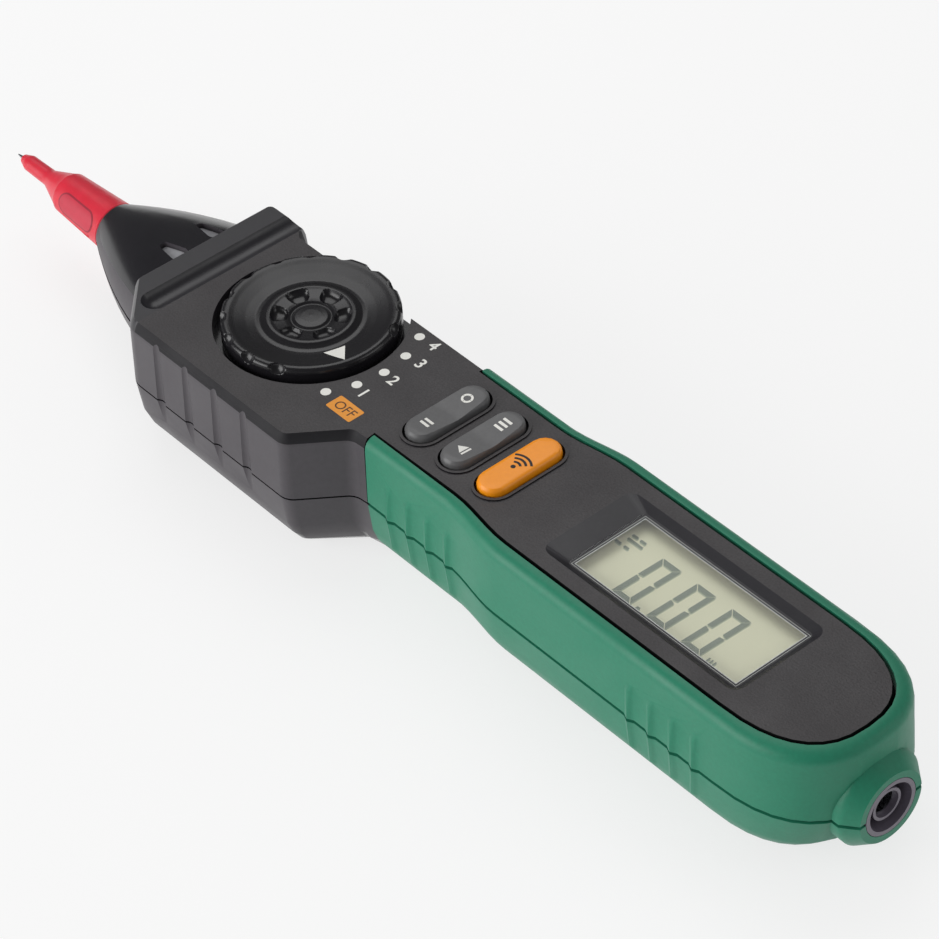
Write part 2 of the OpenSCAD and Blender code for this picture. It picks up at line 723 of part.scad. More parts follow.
// The red sleeve over the probe, which pulls off forwards
cap_x = -nose_reach - 0.2;
snout_x = -nose_reach - 0.67*pin_out;
tip_x = -nose_reach - pin_out;
shoulder_x = -nose_reach - 0.47*pin_out;
nib_x = tip_x + 1.8;
module tip_cap() {
  profile = [
    [nib_x, 0], [nib_x, 0.85], [nib_x + 1.7, snout_r], [snout_x, snout_r + 0.1],
    [shoulder_x - 0.6, cap_neck_r - 0.3], [shoulder_x, cap_neck_r],
    [cap_x - 0.6, cap_r - 0.1], [cap_x - 0.2, cap_r], [cap_x, cap_r - 0.15], [cap_x, 0]
  ];
  color(red) difference() {
    translate([0, 0, axis_z]) rotate([0, 90, 0]) rotate([0, 0, 90])
      rotate_extrude() polygon([for (p = profile) [p[1], p[0]]]);
    rod_x(-nose_reach - collar_out - 0.3, cap_x + over, collar_r + cap_fit);
    rod_x(pin_taper, cap_x, pin_r + cap_fit);
    rod_x(tip_x, pin_taper + over, pin_tip_r + 2*cap_fit,
      pin_tip_r + 2*cap_fit + (pin_r - pin_tip_r)*(pin_taper + over - tip_x)/(pin_taper - tip_x));
    // Flat panels pressed into the two sides of the sleeve
    for (s = [-1, 1]) translate([mix(shoulder_x, cap_x, 0.44), s*(cap_neck_r + over), axis_z])
      rotate([90, 0, 0]) rotate([0, 0, 90]) translate([0, 0, -over])
        slot_prism(3.8, 0.36*pin_out, 0, 2*over);
  }
}
// Where the pin starts to narrow to its point, and the radius of that point
pin_taper = tip_x + 5.1;
pin_tip_r = 0.12;
module probe_pin() {
  color(steel) {
    rod_x(pin_taper, -nose_reach + 10, pin_r);
    rod_x(tip_x, pin_taper, pin_tip_r, pin_r);
  }
}
module probe_collar() {
  color(gloss_black) difference() {
    union() {
      rod_x(-nose_reach - collar_out, -nose_reach + 5, collar_r);
      rod_x(-nose_reach + 4.4, -nose_reach + 5.9, collar_r + 0.6);
    }
    rod_x(-nose_reach - collar_out - over, -nose_reach + 7, pin_r + 0.02);
  }
}
// The block that holds the pin and is soldered to the board
module probe_terminal() {
  color(brass) difference() {
    block(-nose_reach + 6.6, -nose_reach + 10.6, -2, 2, axis_z - 1.9, board_top - board_t);
    rod_x(-nose_reach + 6, -nose_reach + 11, pin_r + 0.02);
  }
}

module light_windows() {
  color("#5a5a5e") for (s = [-1, 1]) difference() {
    intersection() {
      prism(inset(window_outline(s), fit), axis_z + 0.4*nose_rise, body_h);
      nose_block(0.6*wall);
    }
    nose_block(1.25*wall);
  }
}
module indicator_lamps() {
  color("#e8e0d8") for (s = [-1, 1])
    translate([-guard_reach - 0.4*window_l, s*window_pitch/2, board_top]) {
      cylinder(r = 1.4, h = 1.7);
      translate([0, 0, 1.7]) sphere(r = 1.4);
    }
}

// The dial: a dished disc with a notched rim, a raised hub with six pockets and a shaft
notch_shares = [for (k = [0:15]) if (k > 1 && k < 15) k/16];
module dial_knob() {
  h = dial_top - dial_z;
  profile = [
    [0, 0], [dial_r - 0.5, 0], [dial_r, 0.5], [dial_r, h - 0.9], [dial_r - 0.9, h],
    [dial_r - 2.4, h - 0.15], [0.57*dial_r, h - 1.5], [0.54*dial_r, h - 1.55],
    [0.51*dial_r, h - 0.75], [0.46*dial_r, h - 0.55], [0.22*dial_r, h - 1], [0, h - 1.1]
  ];
  color(gloss_black) translate([0, dial_y, dial_z]) rotate([0, 0, -dial_step]) difference() {
    union() {
      rotate_extrude($fn = 96) polygon(profile);
      translate([0, 0, rotor_z - dial_z]) cylinder(r = shaft_r, h = dial_z - rotor_z + fit);
    }
    for (f = notch_shares) rotate([0, 0, 360*f + 0.5*360/16 - 11.25])
      translate([dial_r + 0.1, 0, 0.9]) cylinder(r = 1.05, h = h, $fn = 24);
    for (k = [0:5]) rotate([0, 0, 60*k]) prism([
      [0.27*dial_r, -0.075*dial_r], [0.43*dial_r, -0.13*dial_r],
      [0.43*dial_r, 0.13*dial_r], [0.27*dial_r, 0.075*dial_r]
    ], h - 1.7, h);
    // Pilot hole for the screw that holds the contact carrier
    translate([0, 0, rotor_z - dial_z - over]) cylinder(r = 0.95, h = 4 + over, $fn = 24);
  }
}
module dial_rotor() {
  color("#d8d4c8") translate([0, dial_y, rotor_z]) rotate([0, 0, -dial_step]) difference() {
    union() {
      cylinder(r = rotor_r, h = rotor_t, $fn = 96);
      translate([0, 0, -0.6]) cylinder(r = shaft_r + 1, h = 0.7);
    }
    translate([0, 0, 0]) cylinder(r = shaft_r + 0.02, h = rotor_t + over);
    translate([0, 0, -over]) cylinder(r = 1.2, h = 3*over, $fn = 24);
    // Detent notches in the rim, one for each position
    for (k = [-2:2]) rotate([0, 0, 180 + k*dial_step])
      translate([rotor_r + 0.25, 0, -over]) cylinder(r = 0.8, h = rotor_t + 2*over, $fn = 24);
  }
}
// Two bent spring strips whose feet run on the tracks of the board
module dial_wipers() {
  drop = rotor_z - board_top - fit;
  color(brass) translate([0, dial_y, rotor_z]) rotate([0, 0, -dial_step])
    for (r = [0.62, 0.86]) for (s = [0, 180]) rotate([0, 0, s + 40])
      translate([r*rotor_r - 0.5, 0, 0]) rotate([90, 0, 90]) linear_extrude(1) polygon([
        [-2.6, 0], [-2.6, -0.2], [-1.7, -0.2], [-0.35, -drop], [0.35, -drop], [1.2, -0.9*drop + 0.3],
        [1, -0.9*drop + 0.45], [0.2, -drop + 0.2], [-0.2, -drop + 0.2], [-1.5, 0]
      ]);
}
module dial_screw() {
  color(steel) translate([0, dial_y, rotor_z - 0.6]) {
    translate([0, 0, -0.7]) cylinder(r = 2, h = 0.7, $fn = 32);
    cylinder(r = 0.9, h = 3.6, $fn = 24);
  }
}
// A leaf spring held under the fascia whose nose rides on the carrier's notched rim
module detent_spring() {
  color(steel) translate([-rotor_r - 0.15, dial_y, rotor_z]) difference() {
    union() {
      translate([-0.25, -5, 0]) cube([0.25, 10, rotor_t]);
      translate([-0.6, 0, 0]) cylinder(r = 0.6, h = rotor_t, $fn = 24);
      for (s = [-1, 1]) translate([-1.2, s*5 - 0.6, 0])
        cube([1.2, 1.2, cup_z - rotor_z]);
    }
    translate([-0.25, -over, -over]) translate([-2*over, 0, 0])
      cube([2*over, 2*over, rotor_t + 2*over]);
  }
}

// A key cap: a slot with a softened top edge over a flange that the fascia holds down
module key_cap(tint, crease) {
  w = key_w - 2*key_gap;
  l = key_l - 2*key_gap;
  top = body_h + key_proud;
  color(tint) {
    difference() {
      skin([
        at(slot(w, l), flange_z + flange_t - fit), at(slot(w, l), top - 0.9),
        at(slot(w - 0.3, l - 0.3), top - 0.4), at(slot(w - 0.9, l - 0.9), top - 0.1),
        at(slot(w - 2, l - 2), top)
      ]);
      if (crease > 0) translate([-key_w, 0, top]) rotate([90, 0, 90])
        linear_extrude(2*key_w) polygon([[-0.42*l, over], [-0.42*l, 0], [0, -crease],
          [0.42*l, 0], [0.42*l, over]]);
    }
    slot_prism(key_w + 2*flange_rim, key_l + 2*flange_rim, flange_z, flange_z + flange_t);
  }
}
module hold_key() { translate([key_x, 0, 0]) key_cap(key_grey, 0.45); }
module function_key() { translate([key_x + key_pitch, 0, 0]) key_cap(key_grey, 0.45); }
module sensor_key() { translate([key_x + 2*key_pitch, 0, 0]) key_cap(orange, 0); }
// Silicone sheet with a dome under each contact and a ridge under each rocking key
module key_mat() {
  color("#8d8f92") translate([0, 0, board_top]) {
    block(key_x - 4, key_x + 2*key_pitch + 4, -9, 9, 0, mat_t);
    for (k = [0, 1]) translate([key_x + k*key_pitch, 0, 0]) {
      for (s = [-1, 1]) translate([0, s*5, mat_t - fit])
        cylinder(r1 = 2.3, r2 = 1.6, h = flange_z - board_top - mat_t - 0.4, $fn = 32);
      block(-2.4, 2.4, -0.5, 0.5, 0, flange_z - board_top - 0.2);
    }
    translate([key_x + 2*key_pitch, 0, mat_t - fit])
      cylinder(r1 = 2.6, r2 = 1.8, h = flange_z - board_top - mat_t - key_travel - 0.1, $fn = 32);
  }
}

module lcd_window() {
  color([0.75, 0.8, 0.75, 0.4]) prism(box_outline(lcd_x - lcd_l/2 - lens_rim,
    lcd_x + lcd_l/2 + lens_rim, -lcd_w/2 - lens_rim, lcd_w/2 + lens_rim, 0.5), lens_z,
    lens_top);
}
module lcd_glass() {
  color("#c9cbb0") block(lcd_x - lcd_l/2 - 1.6, lcd_x + lcd_l/2 + 1.6, -lcd_w/2 - 2,
    lcd_w/2 + 2, glass_z, glass_z + glass_t);
}
module lcd_frame() {
  color("#e4e2dc") difference() {
    block(lcd_x - lcd_l/2 - 2.8, lcd_x + lcd_l/2 + 2.8, -lcd_w/2 - 3, lcd_w/2 + 3,
      board_top, glass_z + 0.8*glass_t);
    block(lcd_x - lcd_l/2 - 1.7, lcd_x + lcd_l/2 + 1.7, -lcd_w/2 - 2.1, lcd_w/2 + 2.1,
      glass_z, body_h);
    block(lcd_x - lcd_l/2, lcd_x + lcd_l/2, -lcd_w/2 - 1.2, lcd_w/2 + 1.2,
      board_top - over, body_h);
  }
}
module lcd_strips() {
  color("#e08a9a") for (s = [-1, 1])
    block(lcd_x - lcd_l/2 + 0.5, lcd_x + lcd_l/2 - 0.5, s*(lcd_w/2 + 0.1) - 0.9,
      s*(lcd_w/2 + 0.1) + 0.9, board_top, glass_z);
}

// The circuit board fills the head and runs down the handle to the socket. A tongue reaches
// through the way into the nose, up to the probe's terminal.
board_front = -nose_reach + 9.3;
board_tip = 4;
board_neck = pass_half - 0.5;
board_plan = rounded([
  [board_front, -board_tip], [-guard_reach - 2, -board_neck + 0.2],
  [nose_pass_x + 0.5, -board_neck], [nose_pass_x + 0.5, -11],
  [-near_front + 4, -head_near + 3.1], [head_back - 2, -head_near + 3.1],
  [neck_turn[0] - 3, -neck_half + 3.7], [waist_x0, -neck_half + 3.7],
  [waist_x1, -grip_half + 4.2], [tail_reach - 16.2, -grip_half + 4.2],
  [tail_reach - 16.2, grip_half - 4.2], [waist_x1, grip_half - 4.2],
  [waist_x0, neck_half - 3.7], [-guard_reach + 10, neck_half - 3.7],
  [nose_pass_x + 0.5, 11], [nose_pass_x + 0.5, board_neck],
  [-guard_reach - 2, board_neck - 0.2], [board_front, board_tip]
], 0.8, 2);
module main_board() {
  color("#1d6b3a") difference() {
    prism(board_plan, board_top - board_t, board_top);
    for (s = screw_spots) translate([s[0], s[1], 0]) cylinder(r = post_r + 0.3, h = body_h);
  }
}
module meter_chip() {
  color("#1b1b1d") translate([41, 0, board_top - board_t - 1.6]) {
    block(-6, 6, -6, 6, 0.1, 1.6);
    for (s = [-1, 1]) for (k = [-5:5]) {
      translate([k, s*6.4, 0.8]) cube([0.4, 1.2, 1.6], center = true);
    }
  }
}
fuse_x = -2;
module fuse() {
  color("#e9e4d4") rod_x(fuse_x - 10, fuse_x + 10, 2.6, 2.6, -11, board_top - board_t - 3.6);
}
module fuse_clips() {
  color(brass) for (s = [-1, 1]) translate([fuse_x + s*7.4, -11, board_top - board_t]) {
    difference() {
      block(-1.8, 1.8, -3.2, 3.2, -4.6, 0);
      rod_x(-2*over - 1.8, 2*over + 1.8, 2.65, 2.65, 0, -3.6);
    }
  }
}
module buzzer() {
  color("#2a2a2c") translate([2, 3, board_top - board_t - 3]) difference() {
    cylinder(r = 5.5, h = 3);
    translate([0, 0, -over]) cylinder(r = 0.8, h = 2*over, $fn = 24);
  }
}

// A cell lies with its stud against a plate and its flat end on a spring
plate_t = 0.3;
cell_end = plate_t + 2*fit;
module cell(s) {
  x0 = s > 0 ? bay_x + bay_l - cell_end - cell_l : bay_x + cell_end;
  translate([x0 + cell_l/2, s*cell_y, cell_z]) rotate([0, s*90, 0]) {
    translate([0, 0, -cell_l/2]) cylinder(r = cell_r, h = cell_l - stud_l);
    translate([0, 0, cell_l/2 - stud_l]) cylinder(r = stud_r, h = stud_l, $fn = 32);
  }
}
stud_l = 0.9;
stud_r = 1.9;
module battery_cell_left() { color("#3b4a8c") cell(1); }
module battery_cell_right() { color("#3b4a8c") cell(-1); }
// Bent leaf springs that push on the flat ends of the cells
module battery_springs() {
  reach = bay_spare - cell_end - 1.5*fit;
  color(steel) for (s = [-1, 1])
    translate([s > 0 ? bay_x + fit/2 : bay_x + bay_l - fit/2, s*cell_y, cell_z])
      rotate([0, 0, s > 0 ? 0 : 180]) translate([0, 2.5, 0]) rotate([90, 0, 0])
        linear_extrude(5) polygon([
          [0, -4.6], [0.3, -4.6], [0.3, 3.5], [reach - 0.35, 0.35], [reach - 1.75, -3.6],
          [reach - 1.45, -3.7], [reach, 0.4], [0.3, 4.2], [0, 4.2]
        ]);
}
module battery_plates() {
  color(steel) for (s = [-1, 1])
    translate([s > 0 ? bay_x + bay_l - plate_t - fit : bay_x + fit, s*cell_y - 3.6,
      cell_z - 4])
      cube([plate_t, 7.2, 8]);
}

module battery_door() {
  color(gloss_black) difference() {
    union() {
      difference() {
        intersection() {
          handle_low(0, grip_start, coarse_stations);
          door_box(0);
        }
        handle_low(door_t, grip_start - over, coarse_stations, 0, over);
      }
      translate([door_screw_x, 0, door_t/2]) cylinder(r = door_post_r, h = door_top - door_t/2);
    }
    translate([door_screw_x, 0, -over]) {
      cylinder(r = screw_r + 0.05, h = door_top + 2*over);
      cylinder(r = screw_head_r + 0.25, h = over + 1.8);
    }
  }
}
module door_screw() {
  color(steel) translate([door_screw_x, 0, 0.6]) {
    difference() {
      cylinder(r = screw_head_r, h = 1.2, $fn = 32);
      for (a = [0, 90]) rotate([0, 0, a]) translate([-1.3, -0.25, -over])
        cube([2.6, 0.5, over + 0.7]);
    }
    cylinder(r = screw_r, h = 7.3, $fn = 32);
  }
}

module case_screws() {
  color(steel) for (s = screw_spots) translate([s[0], s[1], screw_seat]) {
    translate([0, 0, -screw_head_h]) difference() {
      cylinder(r = screw_head_r, h = screw_head_h, $fn = 32);
      for (a = [0, 90]) rotate([0, 0, a]) translate([-1.3, -0.25, -over])
        cube([2.6, 0.5, over + 0.8]);
    }
    cylinder(r = screw_r, h = screw_l, $fn = 32);
  }
}

// The flange at the shroud's inner end
flange_l = 1.2;
flange_r = shroud_r + 0.9;
module socket_shroud() {
  color(gloss_black) difference() {
    union() {
      rod_x(socket_face - shroud_l, socket_face, shroud_r);
      rod_x(socket_face - shroud_l, socket_face - shroud_l + flange_l, flange_r);
    }
    difference() {
      rod_x(socket_face - shroud_l + shroud_back, socket_face + over, shroud_r - shroud_wall);
      rod_x(socket_face - shroud_l, socket_face - 0.8, sleeve_r);
    }
    rod_x(socket_face - shroud_l - over, socket_face + over, socket_r + contact_wall + 0.03);
  }
}
module socket_contact() {
  x1 = socket_face - socket_sink;
  color(steel) {
    difference() {
      rod_x(x1 - socket_l, x1, socket_r + contact_wall);
      rod_x(x1 - socket_l - over, x1 + over, socket_r);
    }
    block(x1 - socket_l - 2.4, x1 - socket_l + 0.4, -1, 1, axis_z + socket_r + 0.05,
      board_top - board_t);
  }
}

front_case();
rear_case();
front_grip();
rear_grip();
tip_cap();
probe_pin();
probe_collar();
probe_terminal();
light_windows();
indicator_lamps();
dial_knob();
dial_rotor();
dial_wipers();
dial_screw();
detent_spring();
hold_key();
function_key();
sensor_key();
key_mat();
lcd_window();
lcd_glass();
lcd_frame();
lcd_strips();
main_board();
meter_chip();
fuse();
fuse_clips();
buzzer();
battery_cell_left();
battery_cell_right();
battery_springs();
battery_plates();
battery_door();
door_screw();
case_screws();
socket_shroud();
socket_contact();
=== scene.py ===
"""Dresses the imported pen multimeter: finishes, printed marks, display, floor, lights and camera."""

import math

import bpy
import numpy as np
from mathutils import Matrix, Vector


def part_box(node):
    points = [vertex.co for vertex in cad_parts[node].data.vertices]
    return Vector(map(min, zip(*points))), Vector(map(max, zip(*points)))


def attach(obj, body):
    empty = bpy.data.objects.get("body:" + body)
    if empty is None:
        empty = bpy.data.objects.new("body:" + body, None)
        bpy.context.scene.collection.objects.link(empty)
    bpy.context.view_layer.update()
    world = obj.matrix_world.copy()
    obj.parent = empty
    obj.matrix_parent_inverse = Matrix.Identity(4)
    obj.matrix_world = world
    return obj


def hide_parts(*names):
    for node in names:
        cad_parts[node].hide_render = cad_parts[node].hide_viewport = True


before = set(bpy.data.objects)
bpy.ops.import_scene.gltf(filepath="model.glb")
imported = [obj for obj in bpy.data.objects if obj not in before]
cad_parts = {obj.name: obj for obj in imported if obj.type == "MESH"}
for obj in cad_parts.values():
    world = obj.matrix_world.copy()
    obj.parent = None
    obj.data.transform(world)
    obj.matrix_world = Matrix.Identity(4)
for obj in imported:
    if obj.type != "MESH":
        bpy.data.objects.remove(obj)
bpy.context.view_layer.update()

bl_info = {
    "name": "Pen multimeter dressing",
    "version": (1, 0, 0),
    "blender": (4, 5, 0),
    "location": "View3D > Sidebar > Meter",
    "description": "Finishes and printed marks for a pen multimeter",
    "category": "Object",
}

MM = 0.001

# Heights and places in millimetres: x grows from the probe to the socket, the near side is -y
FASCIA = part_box("front_grip")[1][2] / MM  # height of the fascia
SPLIT = (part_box("front_grip")[0][2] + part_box("rear_grip")[1][2]) / 2 / MM  # parting line
DIAL_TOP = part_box("dial_knob")[1][2] / MM
LENS_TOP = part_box("lcd_window")[1][2] / MM
DIAL = np.array([0.0, -0.4])  # axis of the dial in plan
DIAL_TURN = math.radians(-16)  # where its pointer looks at rest, from +x
HANDLE = (30.0, 112.0)  # x of the two ends of the handle's middle line
GUARD = (-28.6, -18.6)  # x of the guard before the dial
BEZEL = (60.0, 110.0)  # x of the raised frame round the display
BEZEL_SIDE = 9.8  # half its width
SEAM_START = 28.0  # x where the overmould begins beside the fascia
SEAM_SIDE, SEAM_BACK = 10.2, 117.0  # the fascia's edge lies beyond this y or this x
WINDOW = np.array([69.8, 105.4, -7.75, 7.75])  # opening over the display: x, X, y, Y
HAIR = 0.02  # what still counts as the same height

# How much of a face's normal points up or down
LEVEL, LEANING, STEEP, WALL = 0.93, 0.2, 0.6, 0.5


def linear(code):
    """Linear colour of an sRGB hex code."""
    c = np.array([int(code[i : i + 2], 16) for i in (1, 3, 5)]) / 255
    c = np.where(c <= 0.04045, c / 12.92, ((c + 0.055) / 1.055) ** 2.4)
    return (*(float(v) for v in c), 1.0)


def colour_prop(name, text, code):
    """A colour that the panel shows, with its default as a hex code."""
    return bpy.props.FloatVectorProperty(
        name=name, description=text, subtype="COLOR", size=4, min=0, max=1, default=linear(code)
    )


def size_prop(name, text, mm):
    """A length that the panel shows, with its default in millimetres."""
    return bpy.props.FloatProperty(
        name=name, description=text, subtype="DISTANCE", unit="LENGTH", min=0, precision=5,
        default=mm * MM,
    )


class MeterSizes(bpy.types.PropertyGroup):
    """Sizes that a user would change."""

    ink: size_prop("Ink", "Thickness of the printed marks above the surface", 0.03)
    dot: size_prop("Dot", "Radius of the dot at each dial position", 0.85)
    dot_ring: size_prop("Dot ring", "Radius of the ring that the dots lie on", 18.1)
    number: size_prop("Number", "Height of the numbers beside the dial", 2.2)
    digit: size_prop("Digit", "Height of the display's digits", 10.3)
    grain: size_prop("Grain", "Pitch of the fascia's moulded grain", 0.34)


class MeterColours(bpy.types.PropertyGroup):
    """Colours that a user would change."""

    fascia: colour_prop("Fascia", "Grained front moulding", "#393638")
    shell: colour_prop("Shell", "Glossy nose and back", "#1d1c20")
    grip: colour_prop("Grip", "Soft overmould", "#187d5f")
    vinyl: colour_prop("Vinyl", "Sleeve over the probe", "#d92c40")
    grey_key: colour_prop("Grey key", "The two rocking keys", "#5f5f60")
    orange_key: colour_prop("Orange key", "The push key", "#ff9a10")
    ink: colour_prop("Ink", "Printed dots, numbers and pointer", "#f1f0ea")
    off_box: colour_prop("Off box", "Printed box round the off position", "#ee9a2c")
    display: colour_prop("Display", "Ground of the liquid-crystal display", "#e6e3ca")


# -------- materials


def add(tree, kind, sockets=(), **fields):
    """Adds a node with its own fields and its sockets set to a value or linked to a socket."""
    node = tree.nodes.new(kind)
    for key, value in fields.items():
        setattr(node, key, value)
    for key, value in dict(sockets).items():
        if isinstance(value, bpy.types.NodeSocket):
            tree.links.new(value, node.inputs[key])
        else:
            node.inputs[key].default_value = value
    return node


def combined(tree, operation, a, b):
    """The result of an arithmetic node on two values or sockets."""
    return add(tree, "ShaderNodeMath", {0: a, 1: b}, operation=operation).outputs[0]


def blank(name):
    """A material with an empty tree."""
    mat = bpy.data.materials.new(name)
    mat.use_nodes = True
    mat.node_tree.nodes.clear()
    return mat, mat.node_tree


def speckled(tree, place, pitch_mm, colour, spread):
    """A noise of the given pitch that lightens and darkens a colour by the spread."""
    noise = add(
        tree, "ShaderNodeTexNoise",
        {"Vector": place, "Scale": 1 / (pitch_mm * MM), "Detail": 2.0, "Roughness": 0.6},
    ).outputs["Fac"]
    ramp = add(tree, "ShaderNodeValToRGB", {"Fac": noise})
    low, high = ramp.color_ramp.elements
    # Between these two values lies nearly all of the noise
    low.position, high.position = 0.32, 0.68
    low.color = (*(c * (1 - spread) for c in colour[:3]), 1)
    high.color = (*(min(1, c * (1 + spread)) for c in colour[:3]), 1)
    return noise, ramp.outputs["Color"]


def plastic(name, colour, rough, pitch_mm, relief_mm, spread, **extra):
    """A moulded plastic: one noise gives both its relief and its faint change of colour.

    A broad second noise varies the roughness. relief_mm is the depth of the grain."""
    patch_mm, vary = 9, 0.12
    mat, tree = blank(name)
    place = add(tree, "ShaderNodeTexCoord").outputs["Object"]
    noise, tint = speckled(tree, place, pitch_mm, colour, spread)
    broad = add(
        tree, "ShaderNodeTexNoise", {"Vector": place, "Scale": 1 / (patch_mm * MM), "Detail": 3.0}
    ).outputs["Fac"]
    dullness = add(
        tree, "ShaderNodeMapRange",
        {"Value": broad, "From Min": 0.3, "From Max": 0.7, "To Min": rough * (1 - vary),
         "To Max": min(1.0, rough * (1 + vary))},
    ).outputs["Result"]
    bump = add(
        tree, "ShaderNodeBump", {"Height": noise, "Distance": relief_mm * MM, "Strength": 1.0}
    ).outputs["Normal"]
    sockets = {"Base Color": tint, "Roughness": dullness, "Normal": bump, **extra}
    skin = add(tree, "ShaderNodeBsdfPrincipled", sockets)
    add(tree, "ShaderNodeOutputMaterial", {"Surface": skin.outputs["BSDF"]})
    return mat


def turned_metal(name, colour, rough, axis, pitch_mm):
    """A plated and turned metal: fine rings square to its axis break up the highlight.

    The wave repeats about every two pitches."""
    mat, tree = blank(name)
    place = add(tree, "ShaderNodeTexCoord").outputs["Object"]
    rings = add(
        tree, "ShaderNodeTexWave",
        {"Vector": place, "Scale": 1 / (pitch_mm * MM) / 6.28, "Distortion": 0.6, "Detail": 1.0},
        wave_type="BANDS", bands_direction=axis,
    ).outputs["Fac"]
    bump = add(
        tree, "ShaderNodeBump", {"Height": rings, "Distance": 0.002 * MM, "Strength": 0.6}
    ).outputs["Normal"]
    skin = add(
        tree, "ShaderNodeBsdfPrincipled",
        {"Base Color": colour, "Metallic": 1.0, "Roughness": rough, "Normal": bump},
    )
    add(tree, "ShaderNodeOutputMaterial", {"Surface": skin.outputs["BSDF"]})
    return mat


def clear_sheet(name, tint):
    """A thin clear sheet: it lets the light through and adds only its front's reflection."""
    mat, tree = blank(name)
    fresnel = add(tree, "ShaderNodeFresnel", {"IOR": 1.49}).outputs["Fac"]
    back = add(tree, "ShaderNodeNewGeometry").outputs["Backfacing"]
    front = combined(tree, "SUBTRACT", 1.0, back)
    share = combined(tree, "MULTIPLY", fresnel, front)
    through = add(tree, "ShaderNodeBsdfTransparent", {"Color": tint})
    shine = add(tree, "ShaderNodeBsdfGlossy", {"Roughness": 0.03})
    both = add(
        tree, "ShaderNodeMixShader",
        {0: share, 1: through.outputs["BSDF"], 2: shine.outputs["BSDF"]},
    )
    add(tree, "ShaderNodeOutputMaterial", {"Surface": both.outputs["Shader"]})
    return mat


def gloss(level):
    """The strength of a plastic's reflection, as a socket."""
    return {"Specular IOR Level": level}


